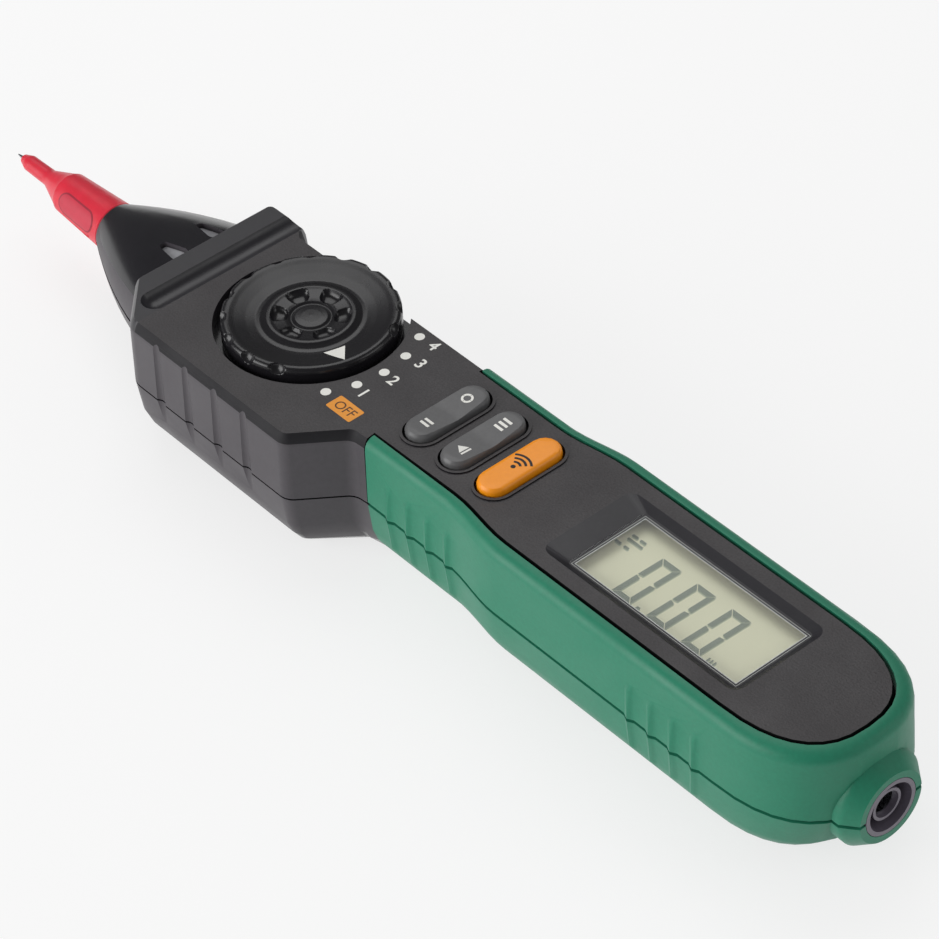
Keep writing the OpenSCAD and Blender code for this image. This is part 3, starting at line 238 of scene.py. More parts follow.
# Each row: key, material, colour (a hex code or one of the panel's names), roughness, the
# grain's pitch (None: the panel's) and depth in mm, spread of the colour, further sockets
PLASTICS = (
    # Spark-eroded ABS: a fine dull grain that glitters a little where the light grazes it
    ("grained_abs", "Grained_ABS", "fascia", 0.46, None, 0.05, 0.2),
    # Polished-tool ABS: near black, with soft clear reflections
    ("polished_abs", "Polished_ABS", "shell", 0.2, 3.2, 0.006, 0.05, gloss(0.6)),
    # The same moulding where the tool was only stoned: soft reflections, no grain
    ("satin_abs", "Satin_ABS", "#2c2b2f", 0.34, 0.8, 0.006, 0.05, gloss(0.5)),
    # Rounded lips round the head, the tool's eased edges: dull, and darker than the shell as painted
    # shade
    ("dull_abs", "Dull_ABS", "#232225", 0.55, 0.6, 0.006, 0.05, gloss(0.2)),
    # The head's walls: duller and a little warmer than the nose, and far lighter than the shell as
    # painted light
    ("wall_abs", "Drawn_ABS", "#423e43", 0.42, 1.0, 0.006, 0.05),
    # Painted shade: near black on the walls down in the seam beside the overmould, where hardly any
    # light gets, and on the parting lip
    ("shade", "Seam_ABS", "#0c0c0d", 0.7, 1.0, 0.002, 0.05, gloss(0.15)),
    # The dial's satin acetal: near black, with broader highlights than the polished nose
    ("satin_acetal", "Satin_Acetal", "#1b1a1d", 0.27, 0.5, 0.006, 0.08, gloss(0.55)),
    # Thermoplastic elastomer: soft wide highlights and a dusty look where it turns away
    ("elastomer", "Thermoplastic_Elastomer", "grip", 0.5, 0.6, 0.012, 0.05,
     {"Sheen Weight": 0.12, "Sheen Roughness": 0.5, **gloss(0.45)}),
    # Plasticised PVC: waxy, light bleeds a little way into it
    ("soft_vinyl", "Soft_PVC", "vinyl", 0.34, 1.6, 0.012, 0.04,
     {"Subsurface Weight": 0.25, "Subsurface Scale": 0.6 * MM,
      "Subsurface Radius": (1.0, 0.25, 0.15)}),
    # The groove pressed round the sleeve's panel: the same vinyl, deep in shade
    ("vinyl_shade", "Soft_PVC_Shade", "#9c1830", 0.5, 1.6, 0.006, 0.04),
    # The panel within that groove: a little duller and darker than the sleeve round it
    ("vinyl_panel", "Soft_PVC_Panel", "#c42a41", 0.42, 1.6, 0.012, 0.04),
    # Moulded key caps: satin, softly worn on top
    ("key_grey", "Satin_ABS_Grey", "grey_key", 0.4, 0.7, 0.01, 0.05),
    # The push key's cap: the same satin in a full orange, slightly shinier
    ("key_orange", "Satin_ABS_Orange", "orange_key", 0.36, 0.7, 0.01, 0.03),
    # Filled nylon and the window's print: flat black with a short broken highlight
    ("black_nylon", "Black_Nylon", "#1a1920", 0.38, 0.4, 0.012, 0.1),
    # Natural nylon: milky, a warm off-white
    ("white_nylon", "White_Nylon", "#ddd9cf", 0.42, 0.5, 0.01, 0.03),
    # The socket's rim is a violet-grey moulding that the plug has polished
    ("socket_abs", "Socket_ABS", "#6a6470", 0.3, 0.5, 0.01, 0.05),
    # Silicone rubber: grey and dusty, with no clear highlight
    ("silicone", "Silicone_Rubber", "#8b8d91", 0.55, 0.8, 0.015, 0.04),
    # Screen inks: matt, opaque and a little uneven at the edge
    ("white_ink", "White_Ink", "ink", 0.5, 0.25, 0.003, 0.03),
    ("orange_ink", "Orange_Ink", "off_box", 0.5, 0.25, 0.003, 0.04),
    ("brown_ink", "Brown_Ink", "#5c3a17", 0.5, 0.25, 0.003, 0.04),
    ("black_ink", "Black_Ink", "#1f1a18", 0.5, 0.25, 0.003, 0.04),
    # Tinted polycarbonate over the lamps: dark until a lamp is lit
    ("smoked_lens", "Smoked_Polycarbonate", "#9c9ca0", 0.14, 2.5, 0.004, 0.12,
     {"Coat Weight": 0.6, "Coat Roughness": 0.05}),
    # Diffused epoxy: the milky cream of an unlit lamp
    ("lamp_resin", "Diffused_Epoxy", "#efe9df", 0.3, 0.8, 0.004, 0.04),
    # The display's rear polariser: an even pale ground, like paper
    ("display_ground", "Display_Polariser", "display", 0.42, 0.3, 0.001, 0.015),
    # Liquid-crystal segments: a soft grey that lets some of the ground show
    ("display_segment", "Display_Segment", "#7d877c", 0.42, 0.3, 0.001, 0.02),
    # Their shadow on the ground: a fainter, greener grey
    ("display_shadow", "Display_Shadow", "#a9b19b", 0.45, 0.3, 0.001, 0.02),
    # Painted highlight: a thin pale line where the window's cut edge gathers light
    ("cut_edge", "Acrylic_Edge", "#c9ccc8", 0.25, 0.5, 0.002, 0.05),
    # Solder mask: green lacquer with a wet shine, uneven over the tracks
    ("solder_mask", "Solder_Mask", "#17603a", 0.28, 1.1, 0.02, 0.1),
    # Glazed ceramic: cream, with a hard clear shine
    ("ceramic", "Glazed_Ceramic", "#e9e4d4", 0.2, 1.5, 0.006, 0.03),
    # The cells' shrunk film: blue, with smooth long highlights
    ("film_jacket", "Printed_Film", "#3a4a8c", 0.3, 1.2, 0.01, 0.06),
    # Chip and buzzer: matt near-black epoxy
    ("epoxy", "Moulded_Epoxy", "#222226", 0.5, 0.3, 0.02, 0.1),
)

# Each row: key, material, colour, roughness, axis and pitch in mm
METALS = (
    # Nickel plate: a bright, neutral metal whose turned rings draw the highlight out
    ("nickel", "Nickel_Plate", "#c9cace", 0.24, "X", 0.12),
    # Zinc plate: bluer and duller than the nickel
    ("steel", "Zinc_Plated_Steel", "#bfc2c6", 0.3, "Z", 0.2),
    # Rolled brass: yellow, streaked by the rolls
    ("brass", "Rolled_Brass", "#c9a44e", 0.3, "Y", 0.3),
)

FINISH = {}  # every finish by its key, filled by the first operator


def make_finishes(colours, sizes):
    """Every finish of the meter by its key."""
    made = {}
    for key, name, colour, rough, pitch, relief, spread, *more in PLASTICS:
        tint = linear(colour) if colour.startswith("#") else getattr(colours, colour)
        pitch = pitch or sizes.grain / MM
        sockets = more[0] if more else {}
        made[key] = plastic(name, tint, rough, pitch, relief, spread, **sockets)
    for key, name, code, rough, axis, pitch in METALS:
        made[key] = turned_metal(name, linear(code), rough, axis, pitch)
    # Cast acrylic: clear to nothing from above, a mirror where it is seen at a low angle
    made["clear_acrylic"] = clear_sheet("Clear_Acrylic", linear("#fbfcfa"))
    return made


# -------- meshes


def placed(name, data):
    """A new object in the scene."""
    thing = bpy.data.objects.new(name, data)
    bpy.context.scene.collection.objects.link(thing)
    return thing


def mesh_piece(name, verts, faces, body, slot_name, *looks, smooth=False, index=None):
    """Puts points in millimetres and faces into a mesh in the frame, and lets it ride.

    looks are the piece's finishes, and index gives each face its place among them."""
    mesh = bpy.data.meshes.new(name)
    mesh.from_pydata((np.asarray(verts, float) * MM).tolist(), [], [list(f) for f in faces])
    for look in looks:
        mesh.materials.append(FINISH[look])
    if index is not None:
        mesh.polygons.foreach_set("material_index", np.asarray(index, np.int32))
    mesh.polygons.foreach_set("use_smooth", np.full(len(mesh.polygons), smooth))
    mesh.update()
    piece = placed(name, mesh)
    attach(piece, body)
    return piece


def joined(name):
    """Corners and triangles of a CAD node, with the loose triangles joined where corners meet."""
    same = 2e-6  # metres within which corners meet
    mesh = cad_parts[name].data
    co = np.empty(len(mesh.vertices) * 3)
    mesh.vertices.foreach_get("co", co)
    co = co.reshape(-1, 3)
    _, first, back = np.unique(
        np.round(co / same).astype(np.int64), axis=0, return_index=True, return_inverse=True
    )
    corner = np.empty(len(mesh.loops), np.int64)
    mesh.loops.foreach_get("vertex_index", corner)
    tri = back.reshape(-1)[corner].reshape(-1, 3)
    whole = (tri[:, 0] != tri[:, 1]) & (tri[:, 1] != tri[:, 2]) & (tri[:, 0] != tri[:, 2])
    return co[first] / MM, tri[whole]


def facing(co, tri):
    """Unit normal and centre of each triangle."""
    a, b, c = co[tri[:, 0]], co[tri[:, 1]], co[tri[:, 2]]
    n = np.cross(b - a, c - a)
    return n / np.maximum(np.linalg.norm(n, axis=1, keepdims=True), 1e-12), (a + b + c) / 3


def edges(tri):
    """The three edges of every triangle, as pairs of corners."""
    return np.concatenate([tri[:, [0, 1]], tri[:, [1, 2]], tri[:, [2, 0]]])


def plan_normals(co, tri):
    """Sum in plan of the normals of the steep faces that meet at each corner."""
    normal, _ = facing(co, tri)
    steep = np.abs(normal[:, 2]) < STEEP
    total = np.zeros((len(co), 2))
    for k in range(3):
        np.add.at(total, tri[steep, k], normal[steep, :2])
    return total


def eased(co, tri, chosen, outwards, upwards):
    """Moves the chosen corners along their own outline's normal and up, to ease an edge."""
    total = plan_normals(co, tri)
    total /= np.maximum(np.linalg.norm(total, axis=1, keepdims=True), 1e-9)
    moved = co.copy()
    moved[chosen, :2] += outwards * total[chosen]
    moved[chosen, 2] += upwards
    return moved


def outer_side(co, tri, chosen):
    """Of the chosen corners, those whose steep faces look away from the handle's middle."""
    middle = np.c_[np.clip(co[:, 0], *HANDLE), np.zeros(len(co))]
    return chosen & (np.sum(plan_normals(co, tri) * (co[:, :2] - middle), axis=1) > 0)


def dressed(node, body, slot_name, *looks, pick=None, angle=30, ease=None, crisp=None):
    """A finished copy of a CAD node: joined, moved where it is eased and smoothed up to an angle.

    pick chooses a finish for each triangle from its normal and centre, ease moves corners
    and crisp names the place where slighter folds stay sharp too."""
    co, tri = joined(node)
    if ease is not None:
        co = ease(co, tri)
    index = None if pick is None else pick(*facing(co, tri))
    name = "dressed_" + node
    piece = mesh_piece(name, co, tri, body, slot_name, *looks, smooth=True, index=index)
    piece.data.set_sharp_from_angle(angle=math.radians(angle))
    if crisp is not None:
        keep_crisp(piece.data, co, tri, crisp)
    even = piece.modifiers.new("Even shading", "WEIGHTED_NORMAL")
    even.keep_sharp = True
    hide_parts(node)


def keep_crisp(mesh, co, tri, crisp):
    """Marks every edge that folds by more than 4 degrees sharp where crisp says so."""
    least_fold = math.cos(math.radians(4))
    normal, _ = facing(co, tri)
    pairs = np.sort(edges(tri), axis=1)
    owner = np.tile(np.arange(len(tri)), 3)
    key = pairs[:, 0] * len(co) + pairs[:, 1]
    order = np.argsort(key, kind="stable")
    key, owner = key[order], owner[order]
    twin = np.flatnonzero(key[1:] == key[:-1])
    fold = np.sum(normal[owner[twin]] * normal[owner[twin + 1]], axis=1)
    folded = key[twin][fold < least_fold]
    ends = np.empty(len(mesh.edges) * 2, np.int64)
    mesh.edges.foreach_get("vertices", ends)
    ends = np.sort(ends.reshape(-1, 2), axis=1)
    sharp = np.zeros(len(mesh.edges), bool)
    layer = mesh.attributes.get("sharp_edge")
    if layer is not None:
        layer.data.foreach_get("value", sharp)
    else:
        layer = mesh.attributes.new("sharp_edge", "BOOLEAN", "EDGE")
    near = crisp((co[ends[:, 0]] + co[ends[:, 1]]) / 2)
    sharp |= near & np.isin(ends[:, 0] * len(co) + ends[:, 1], folded)
    layer.data.foreach_set("value", sharp)


def finished(node, look):
    """A CAD node that keeps its mesh and takes a finish."""
    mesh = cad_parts[node].data
    mesh.materials.clear()
    mesh.materials.append(FINISH[look])


def band(n):
    """Faces between two closed loops of n points, the second numbered on from the first."""
    k = np.arange(n)
    j = (k + 1) % n
    return np.c_[k, j, j + n, k + n]


def quads(rows, cols, flip=False):
    """Faces of a grid of rows by cols cells, its points numbered along each row in turn."""
    k = np.arange(rows * cols)
    q = k // cols * (cols + 1) + k % cols
    second, last = (1, cols + 1) if flip else (cols + 1, 1)
    return np.c_[q, q + second, q + cols + 2, q + last]


def grid(u0, u1, rows, cols):
    """u from u0 to u1 down the rows and v from -1 to 1 along them, as two arrays of points."""
    return np.meshgrid(
        np.linspace(u0, u1, rows + 1), np.linspace(-1, 1, cols + 1), indexing="ij"
    )


def plate(outlines, z0, z1):
    """Flat plates: each closed counter-clockwise outline becomes a prism between two heights."""
    verts, faces, base = [], [], 0
    for ring in outlines:
        n = len(ring)
        k = np.arange(n) + base
        verts += [np.c_[ring, np.full(n, z0)], np.c_[ring, np.full(n, z1)]]
        faces += [k[::-1].tolist(), (k + n).tolist(), *(band(n) + base).tolist()]
        base += 2 * n
    return np.concatenate(verts), faces


def disc(cx, cy, r, n=40):
    """A circle as an outline."""
    a = np.arange(n) * 2 * np.pi / n
    return np.c_[cx + r * np.cos(a), cy + r * np.sin(a)]


def rounded_box(x0, x1, y0, y1, r, n=6):
    """A rectangle with round corners as a counter-clockwise outline."""
    a = np.linspace(0, np.pi / 2, n)
    parts = []
    for k, (cx, cy) in enumerate(
        [(x1 - r, y1 - r), (x0 + r, y1 - r), (x0 + r, y0 + r), (x1 - r, y0 + r)]
    ):
        t = a + k * np.pi / 2
        parts.append(np.c_[cx + r * np.cos(t), cy + r * np.sin(t)])
    return np.concatenate(parts)


def arc(cx, r0, r1, start, end, n):
    """A piece of a ring about (cx, 0) between two radii and two turns in degrees."""
    a = np.radians(np.linspace(start, end, n))
    outer = np.c_[cx + r1 * np.cos(a), r1 * np.sin(a)]
    inner = np.c_[cx + r0 * np.cos(a), r0 * np.sin(a)][::-1]
    return np.r_[outer, inner]


def lettering(word, height, x, y, weight=0.0):
    """Flat letters as points and faces in plan, mm: x and y are the lower left corner."""
    text = bpy.data.curves.new("word", "FONT")
    text.body = word
    text.offset = weight
    text.resolution_u = 6
    holder = placed("word", text)
    shown = holder.evaluated_get(bpy.context.evaluated_depsgraph_get())
    flat = bpy.data.meshes.new_from_object(shown)
    co = np.empty(len(flat.vertices) * 3)
    flat.vertices.foreach_get("co", co)
    co = co.reshape(-1, 3)[:, :2]
    faces = [list(p.vertices) for p in flat.polygons]
    bpy.data.objects.remove(holder)
    bpy.data.curves.remove(text)
    bpy.data.meshes.remove(flat)
    return (co - co.min(0)) * height / np.ptp(co[:, 1]) + [x, y], faces


def lifted(flats, z):
    """Several flat groups of points and faces as one mesh at a height, faces upwards."""
    verts, faces, base = [], [], 0
    for co, polys in flats:
        verts.append(np.c_[co, np.full(len(co), z)])
        for f in polys:
            a, b, c = co[f[0]], co[f[1]], co[f[2]]
            up = (b[0] - a[0]) * (c[1] - a[1]) - (b[1] - a[1]) * (c[0] - a[0]) > 0
            faces.append([v + base for v in (f if up else f[::-1])])
        base += len(co)
    return np.concatenate(verts), faces


# -------- pieces


class MeterPiece:
    """What the operators share."""

    bl_options = {"REGISTER", "UNDO"}


class METER_OT_finishes(MeterPiece, bpy.types.Operator):
    """Makes every finish from the colours in the panel"""

    bl_idname = "meter.finishes"
    bl_label = "Finishes"

    def execute(self, context):
        FINISH.clear()
        FINISH.update(make_finishes(context.scene.meter_colours, context.scene.meter_sizes))
        return {"FINISHED"}


class METER_OT_cases(MeterPiece, bpy.types.Operator):
    """Dresses the two hard shells: grained fascia, walls in painted light, seam and lips in painted
    shade, polished nose
    """

    bl_idname = "meter.cases"
    bl_label = "Cases"

    def execute(self, context):
        looks = ("grained_abs", "polished_abs", "satin_abs", "shade", "dull_abs", "wall_abs")
        dressed(
            "front_case", "body", "case_front", *looks, pick=self.region, angle=26,
            ease=self.draw_in, crisp=self.at_display,
        )
        looks = ("polished_abs", "wall_abs")
        dressed("rear_case", "body", "case_rear", *looks, pick=self.head_wall, angle=26)
        self.lip()
        return {"FINISHED"}

    @staticmethod
    def region(normal, centre):
        """0 grained fascia, 1 polished nose, 2 satin guard and bezel, 3 seam and 4 lip in painted
        shade, 5 wall in painted light.
        """
        bezel_deep, guard_deep, seam_deep, lip_deep = 1.4, 2, 3.5, 1.6  # under the fascia, mm
        x, y, z = centre.T
        up = normal[:, 2]
        flat = (up > LEVEL) & (z > FASCIA - 0.05) & (x > GUARD[1])
        guard = (z > FASCIA - guard_deep) & (x > GUARD[0]) & (x < GUARD[1]) & (up > LEANING)
        bezel = (z > FASCIA - bezel_deep) & (x > BEZEL[0]) & (x < BEZEL[1])
        bezel &= (np.abs(y) < BEZEL_SIDE) & (up < 0.999) & (up > -LEANING)
        # The seam's walls: painted shade
        seam = (x > SEAM_START) & (z < FASCIA - HAIR) & (z > FASCIA - seam_deep)
        seam &= (np.abs(y) > SEAM_SIDE) | (x > SEAM_BACK)
        head = x < HANDLE[0]
        # The head's walls: painted light
        wall = head & (np.abs(up) < WALL)
        # The lips round the head: painted shade
        lip = head & (z > FASCIA - lip_deep) & (np.abs(y) > 9) & (up > LEANING) & (up < LEVEL)
        return np.select([bezel, flat, guard, seam, lip, wall], [2, 0, 2, 3, 4, 5], 1)

    @staticmethod
    def head_wall(normal, centre):
        """0 polished, 1 the head's walls, in painted light."""
        return ((np.abs(normal[:, 2]) < WALL) & (centre[:, 0] < HANDLE[0])).astype(int)

    @staticmethod
    def draw_in(co, tri):
        """Draws the fascia's top edge in from the overmould, so that the seam shows dark: the slope
        it makes is painted in shade.
        """
        edge = (co[:, 2] > FASCIA - HAIR) & (co[:, 0] > SEAM_START + 0.3)
        edge &= (np.abs(co[:, 1]) > SEAM_SIDE) | (co[:, 0] > SEAM_BACK)
        return eased(co, tri, edge, -0.42, 0)

    @staticmethod
    def at_display(mid):
        """Whether an edge's middle lies on the frame round the display."""
        return (mid[:, 2] > FASCIA - 1.5) & (np.abs(mid[:, 0] - 86) < 24)

    @staticmethod
    def lip():
        """The lip that closes the parting line from within: the case's outline, drawn in, near black
        as painted shade.

        At each x the outline is where the edges of the parting face cross it, near and far."""
        inset, end_inset, half_height, count = 0.8, 1.2, 0.6, 260
        co, tri = joined("front_case")
        ends = edges(tri)
        flat = np.all(np.abs(co[ends][:, :, 2] - SPLIT) < 0.3, axis=1)
        p, q = co[ends[flat, 0]], co[ends[flat, 1]]
        x = np.linspace(p[:, 0].min() + end_inset, p[:, 0].max() - end_inset, count)
        run = q[:, 0] - p[:, 0]
        share = (x[:, None] - p[:, 0]) / np.where(np.abs(run) < 1e-6, np.nan, run)
        y = np.where((share >= 0) & (share <= 1), p[:, 1] + share * (q[:, 1] - p[:, 1]), np.nan)
        near, far = np.nanmin(y, axis=1) + inset, np.nanmax(y, axis=1) - inset
        loop = np.r_[np.c_[x, near], np.c_[x, far][::-1]]
        n = len(loop)
        low, high = (np.c_[loop, np.full(n, SPLIT + z)] for z in (-half_height, half_height))
        # Near black: painted shade in the parting gap
        mesh_piece("parting_lip", np.r_[low, high], band(n), "body", "case_rear", "shade")


class METER_OT_grips(MeterPiece, bpy.types.Operator):
    """Dresses the two halves of the soft overmould"""

    bl_idname = "meter.grips"
    bl_label = "Grips"

    def execute(self, context):
        def lips(side):
            """Eases the lip at the parting line, and at the fascia on the front half."""

            def ease(co, tri):
                at_split = np.abs(co[:, 2] - SPLIT) < 0.2
                co = eased(co, tri, outer_side(co, tri, at_split), 0, side * 0.16)
                if side > 0:
                    top = (co[:, 2] > FASCIA - HAIR) & ~outer_side(co, tri, co[:, 2] > 0)
                    co = eased(co, tri, top, -0.1, 0)
                return co

            return ease

        for node, side in (("front_grip", 1), ("rear_grip", -1)):
            dressed(node, "body", "soft_grip", "elastomer", angle=40, ease=lips(side))
        return {"FINISHED"}


class METER_OT_probe(MeterPiece, bpy.types.Operator):
    """Dresses the probe and its sleeve, and the lamps behind their windows"""

    bl_idname = "meter.probe"
    bl_label = "Probe"

    def execute(self, context):
        dressed("tip_cap", "cap", "red_vinyl", "soft_vinyl")
        self.panel("sleeve_groove", 5.1, 2.1, 0.03, "vinyl_shade")
        self.panel("sleeve_panel", 4.8, 1.8, 0.06, "vinyl_panel")
        dressed("probe_pin", "body", "plated_steel", "nickel")
        finished("probe_collar", "black_nylon")
        finished("probe_terminal", "brass")
        dressed("light_windows", "body", "smoked_lens", "smoked_lens", angle=35)
        finished("indicator_lamps", "lamp_resin")
        return {"FINISHED"}

    @staticmethod
    def panel(name, half, wide, lift, look):
        """A patch with round ends on the sleeve's cone: u runs along it and v round it.

        The half width is wide * sqrt(1 - e^2), e being how far u is into the round end. The
        cone's radius runs evenly between two rings of its corners."""
        ring_places = np.array([13.29, 0.6])  # mm before the sleeve's back end
        middle = 6.6  # of the patch, mm before that end
        turn = math.radians(66)  # from the top towards the near side
        rows, cols = 60, 20
        lo, hi = (np.array(corner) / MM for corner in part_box("tip_cap"))
        height = (lo[2] + hi[2]) / 2
        co, _ = joined("tip_cap")
        away = np.hypot(co[:, 1], co[:, 2] - height)
        rings = hi[0] - ring_places
        radii = [away[np.abs(co[:, 0] - ring) < 0.2].max() for ring in rings]
        u, v = grid(-half, half, rows, cols)
        e = np.clip((np.abs(u) - half + wide) / wide, 0, 0.999)
        x = hi[0] - middle + u
        r = np.interp(x, rings, radii) + lift
        a = turn + wide * np.sqrt(1 - e**2) * v / r
        verts = np.c_[x.ravel(), (-r * np.sin(a)).ravel(), (height + r * np.cos(a)).ravel()]
        faces = quads(rows, cols, flip=True)
        mesh_piece(name, verts, faces, "cap", "red_vinyl", look, smooth=True)


class METER_OT_dial(MeterPiece, bpy.types.Operator):
    """Dresses the dial and prints its pointer, the position dots and their marks"""

    bl_idname = "meter.dial"
    bl_label = "Dial"

    def execute(self, context):
        sizes = context.scene.meter_sizes
        ink = sizes.ink / MM
        self.knob()
        self.pointer(ink)
        self.marks(sizes, ink)
        return {"FINISHED"}

    # Half section of the dial from its centre to its foot: radius and height under the rim, mm
    SECTION = np.array([
        (0, -1.0), (1.6, -1.04), (2.7, -1.16), (3.05, -1.42), (3.35, -1.48), (3.7, -1.2),
        (4.3, -1.0), (6.2, -0.74), (6.7, -0.56), (7.2, -0.6), (7.6, -0.85), (8.2, -1.16),
        (8.9, -1.24), (10.5, -0.88), (12.4, -0.36), (13.2, -0.1), (13.7, -0.02),
        (14.15, -0.12), (14.45, -0.42), (14.58, -0.9), (14.58, -6.0),
    ])
    FACE = 18  # how many of those points belong to the face, within the rim

    def knob(self):
        """The dial: its half section turned about the axis, with six pockets and thirteen bites.

        With t along the section and a the turn, the point is r(t), a, z(t). In a pocket q and w
        go from 0 at its middle to 1 at its ends and sides, and z sinks by its depth times
        (1 - q^3.2 - w^3.2)^0.6. What lies in a bite's ball is pushed out to its surface. The
        underside is the CAD dial's own."""
        pocket, half_long, half_wide, depth = 5.15, 1.35, 0.34, 0.95  # width as a share of r
        squareness, softness, pockets_end = 3.2, 0.6, 7
        places, bites = 16, range(2, 15)  # none at the pointer and on either side of it
        bite_ring, bite_height, bite = 15.0, 0.1, 1.62  # centres over the rim, and radius
        co, tri = joined("dial_knob")
        away = np.hypot(co[:, 0] - DIAL[0], co[:, 1] - DIAL[1])
        foot = co[away > 13, 2].min()
        under = np.all(co[tri][:, :, 2] < foot + 0.05, axis=1)
        section = self.SECTION.copy()
        section[-1, 1] = foot + 0.5 - DIAL_TOP
        section = np.vstack([section, (14.1, foot - DIAL_TOP)])
        step = np.r_[0, np.cumsum(np.hypot(*np.diff(section, axis=0).T))]
        top = np.linspace(0.12, step[-3], 96)
        t = np.r_[top, np.linspace(step[-3], step[-1], 14)[1:]]
        around = np.radians(np.arange(0, 360, 1.0))
        r = np.interp(t, step, section[:, 0])
        z = np.interp(t, step, section[:, 1])
        r, turn = np.meshgrid(r, around, indexing="ij")
        z = np.repeat(z[:, None], len(around), axis=1)
        near = (np.degrees(turn) + 30) % 60 - 30  # degrees from the nearest pocket's middle
        q = np.abs((r - pocket) / half_long)
        w = np.abs(np.radians(near) * r / (half_wide * r))
        dip = np.clip(1 - q**squareness - w**squareness, 0, 1)
        z = z - depth * dip**softness * (r < pockets_end)
        x, y = r * np.cos(turn), r * np.sin(turn)
        for k in bites:
            a = 2 * math.pi * k / places
            mid = np.array([bite_ring * math.cos(a), bite_ring * math.sin(a), bite_height])
            off = np.stack([x - mid[0], y - mid[1], z - mid[2]])
            gap = np.linalg.norm(off, axis=0)
            push = np.where(gap < bite, bite / np.maximum(gap, 1e-6), 1.0)
            x, y, z = mid[0] + off[0] * push, mid[1] + off[1] * push, mid[2] + off[2] * push
            z = np.minimum(z, -0.01)
        gx, gy = self.turned(x, y)
        rows, cols = gx.shape
        verts = np.c_[gx.ravel(), gy.ravel(), (z + DIAL_TOP).ravel()]
        around_once = band(cols)[:, [0, 3, 2, 1]]
        sides = (around_once + cols * np.arange(rows - 1)[:, None, None]).reshape(-1, 4)
        hub = len(verts)
        fan = np.c_[np.full(cols, hub), band(cols)[:, :2]]
        verts = np.vstack([verts, [DIAL[0], DIAL[1], DIAL_TOP - 1.0], co])
        base = tri[under] + hub + 1
        faces = sides.tolist() + fan.tolist() + base.tolist()
        piece = mesh_piece(
            "dressed_dial_knob", verts, faces, "dial", "dial_plastic", "satin_acetal", smooth=True
        )
        piece.data.set_sharp_from_angle(angle=math.radians(38))
        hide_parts("dial_knob")

    @staticmethod
    def turned(x, y):
        """Points about the dial's axis, turned to where the dial stands at rest."""
        c, s = math.cos(DIAL_TURN), math.sin(DIAL_TURN)
        return DIAL[0] + x * c - y * s, DIAL[1] + x * s + y * c

    def pointer(self, ink):
        """A triangle on the dished ring: u runs outwards and v across, height is the section's.

        The grid's last row falls together at the apex, so a fan of triangles closes it."""
        inner, apex, half = 9.3, 13.6, 1.85  # two radii, and half the width of its foot
        rows, cols = 12, 8
        u, v = grid(0, 1, rows, cols)
        x, y = self.turned(inner + (apex - inner) * u, half * v * (1 - u))
        away = np.hypot(x - DIAL[0], y - DIAL[1])
        z = DIAL_TOP + np.interp(away, *self.SECTION[: self.FACE].T) + ink
        z = np.minimum(z, DIAL_TOP - 0.002)
        verts = np.c_[x.ravel(), y.ravel(), z.ravel()]
        last = (rows - 1) * (cols + 1)
        tip = [[last + i, len(verts) - 1, last + i + 1] for i in range(cols)]
        faces = quads(rows - 1, cols).tolist() + tip
        mesh_piece("dial_pointer", verts, faces, "dial", "white_plastic", "white_ink")

    def marks(self, sizes, ink):
        """Dots on a ring about the dial, plain numbers beside four of them and OFF in a box."""
        ring, dot, size = sizes.dot_ring / MM, sizes.dot / MM, sizes.number / MM
        low, high, over_box = FASCIA - ink, FASCIA + ink, FASCIA + 1.6 * ink
        turns = np.radians([32, 16, 0, -16, -32])
        spots = [(DIAL[0] + ring * math.cos(t), DIAL[1] + ring * math.sin(t)) for t in turns]
        dots = plate([disc(x, y, dot) for x, y in spots], low, high)
        mesh_piece("dial_dots", *dots, "body", "white_plastic", "white_ink")
        starts = ((17.9, 8.3), (19.9, 4.0), (19.9, -1.7), (19.5, -7.0))
        words = [
            lettering(word, size, x, y, weight=0.018) for word, (x, y) in zip("4321", starts)
        ]
        numbers = lifted(words, high)
        mesh_piece("dial_numbers", *numbers, "body", "white_plastic", "white_ink")
        box = plate([rounded_box(17.7, 23.4, -12.0, -8.75, 0.3)], low, high)
        mesh_piece("off_box", *box, "body", "key_orange", "orange_ink")
        word = lifted([lettering("OFF", 1.75, 18.55, -11.25)], over_box)
        mesh_piece("off_word", *word, "body", "black_plastic", "brown_ink")


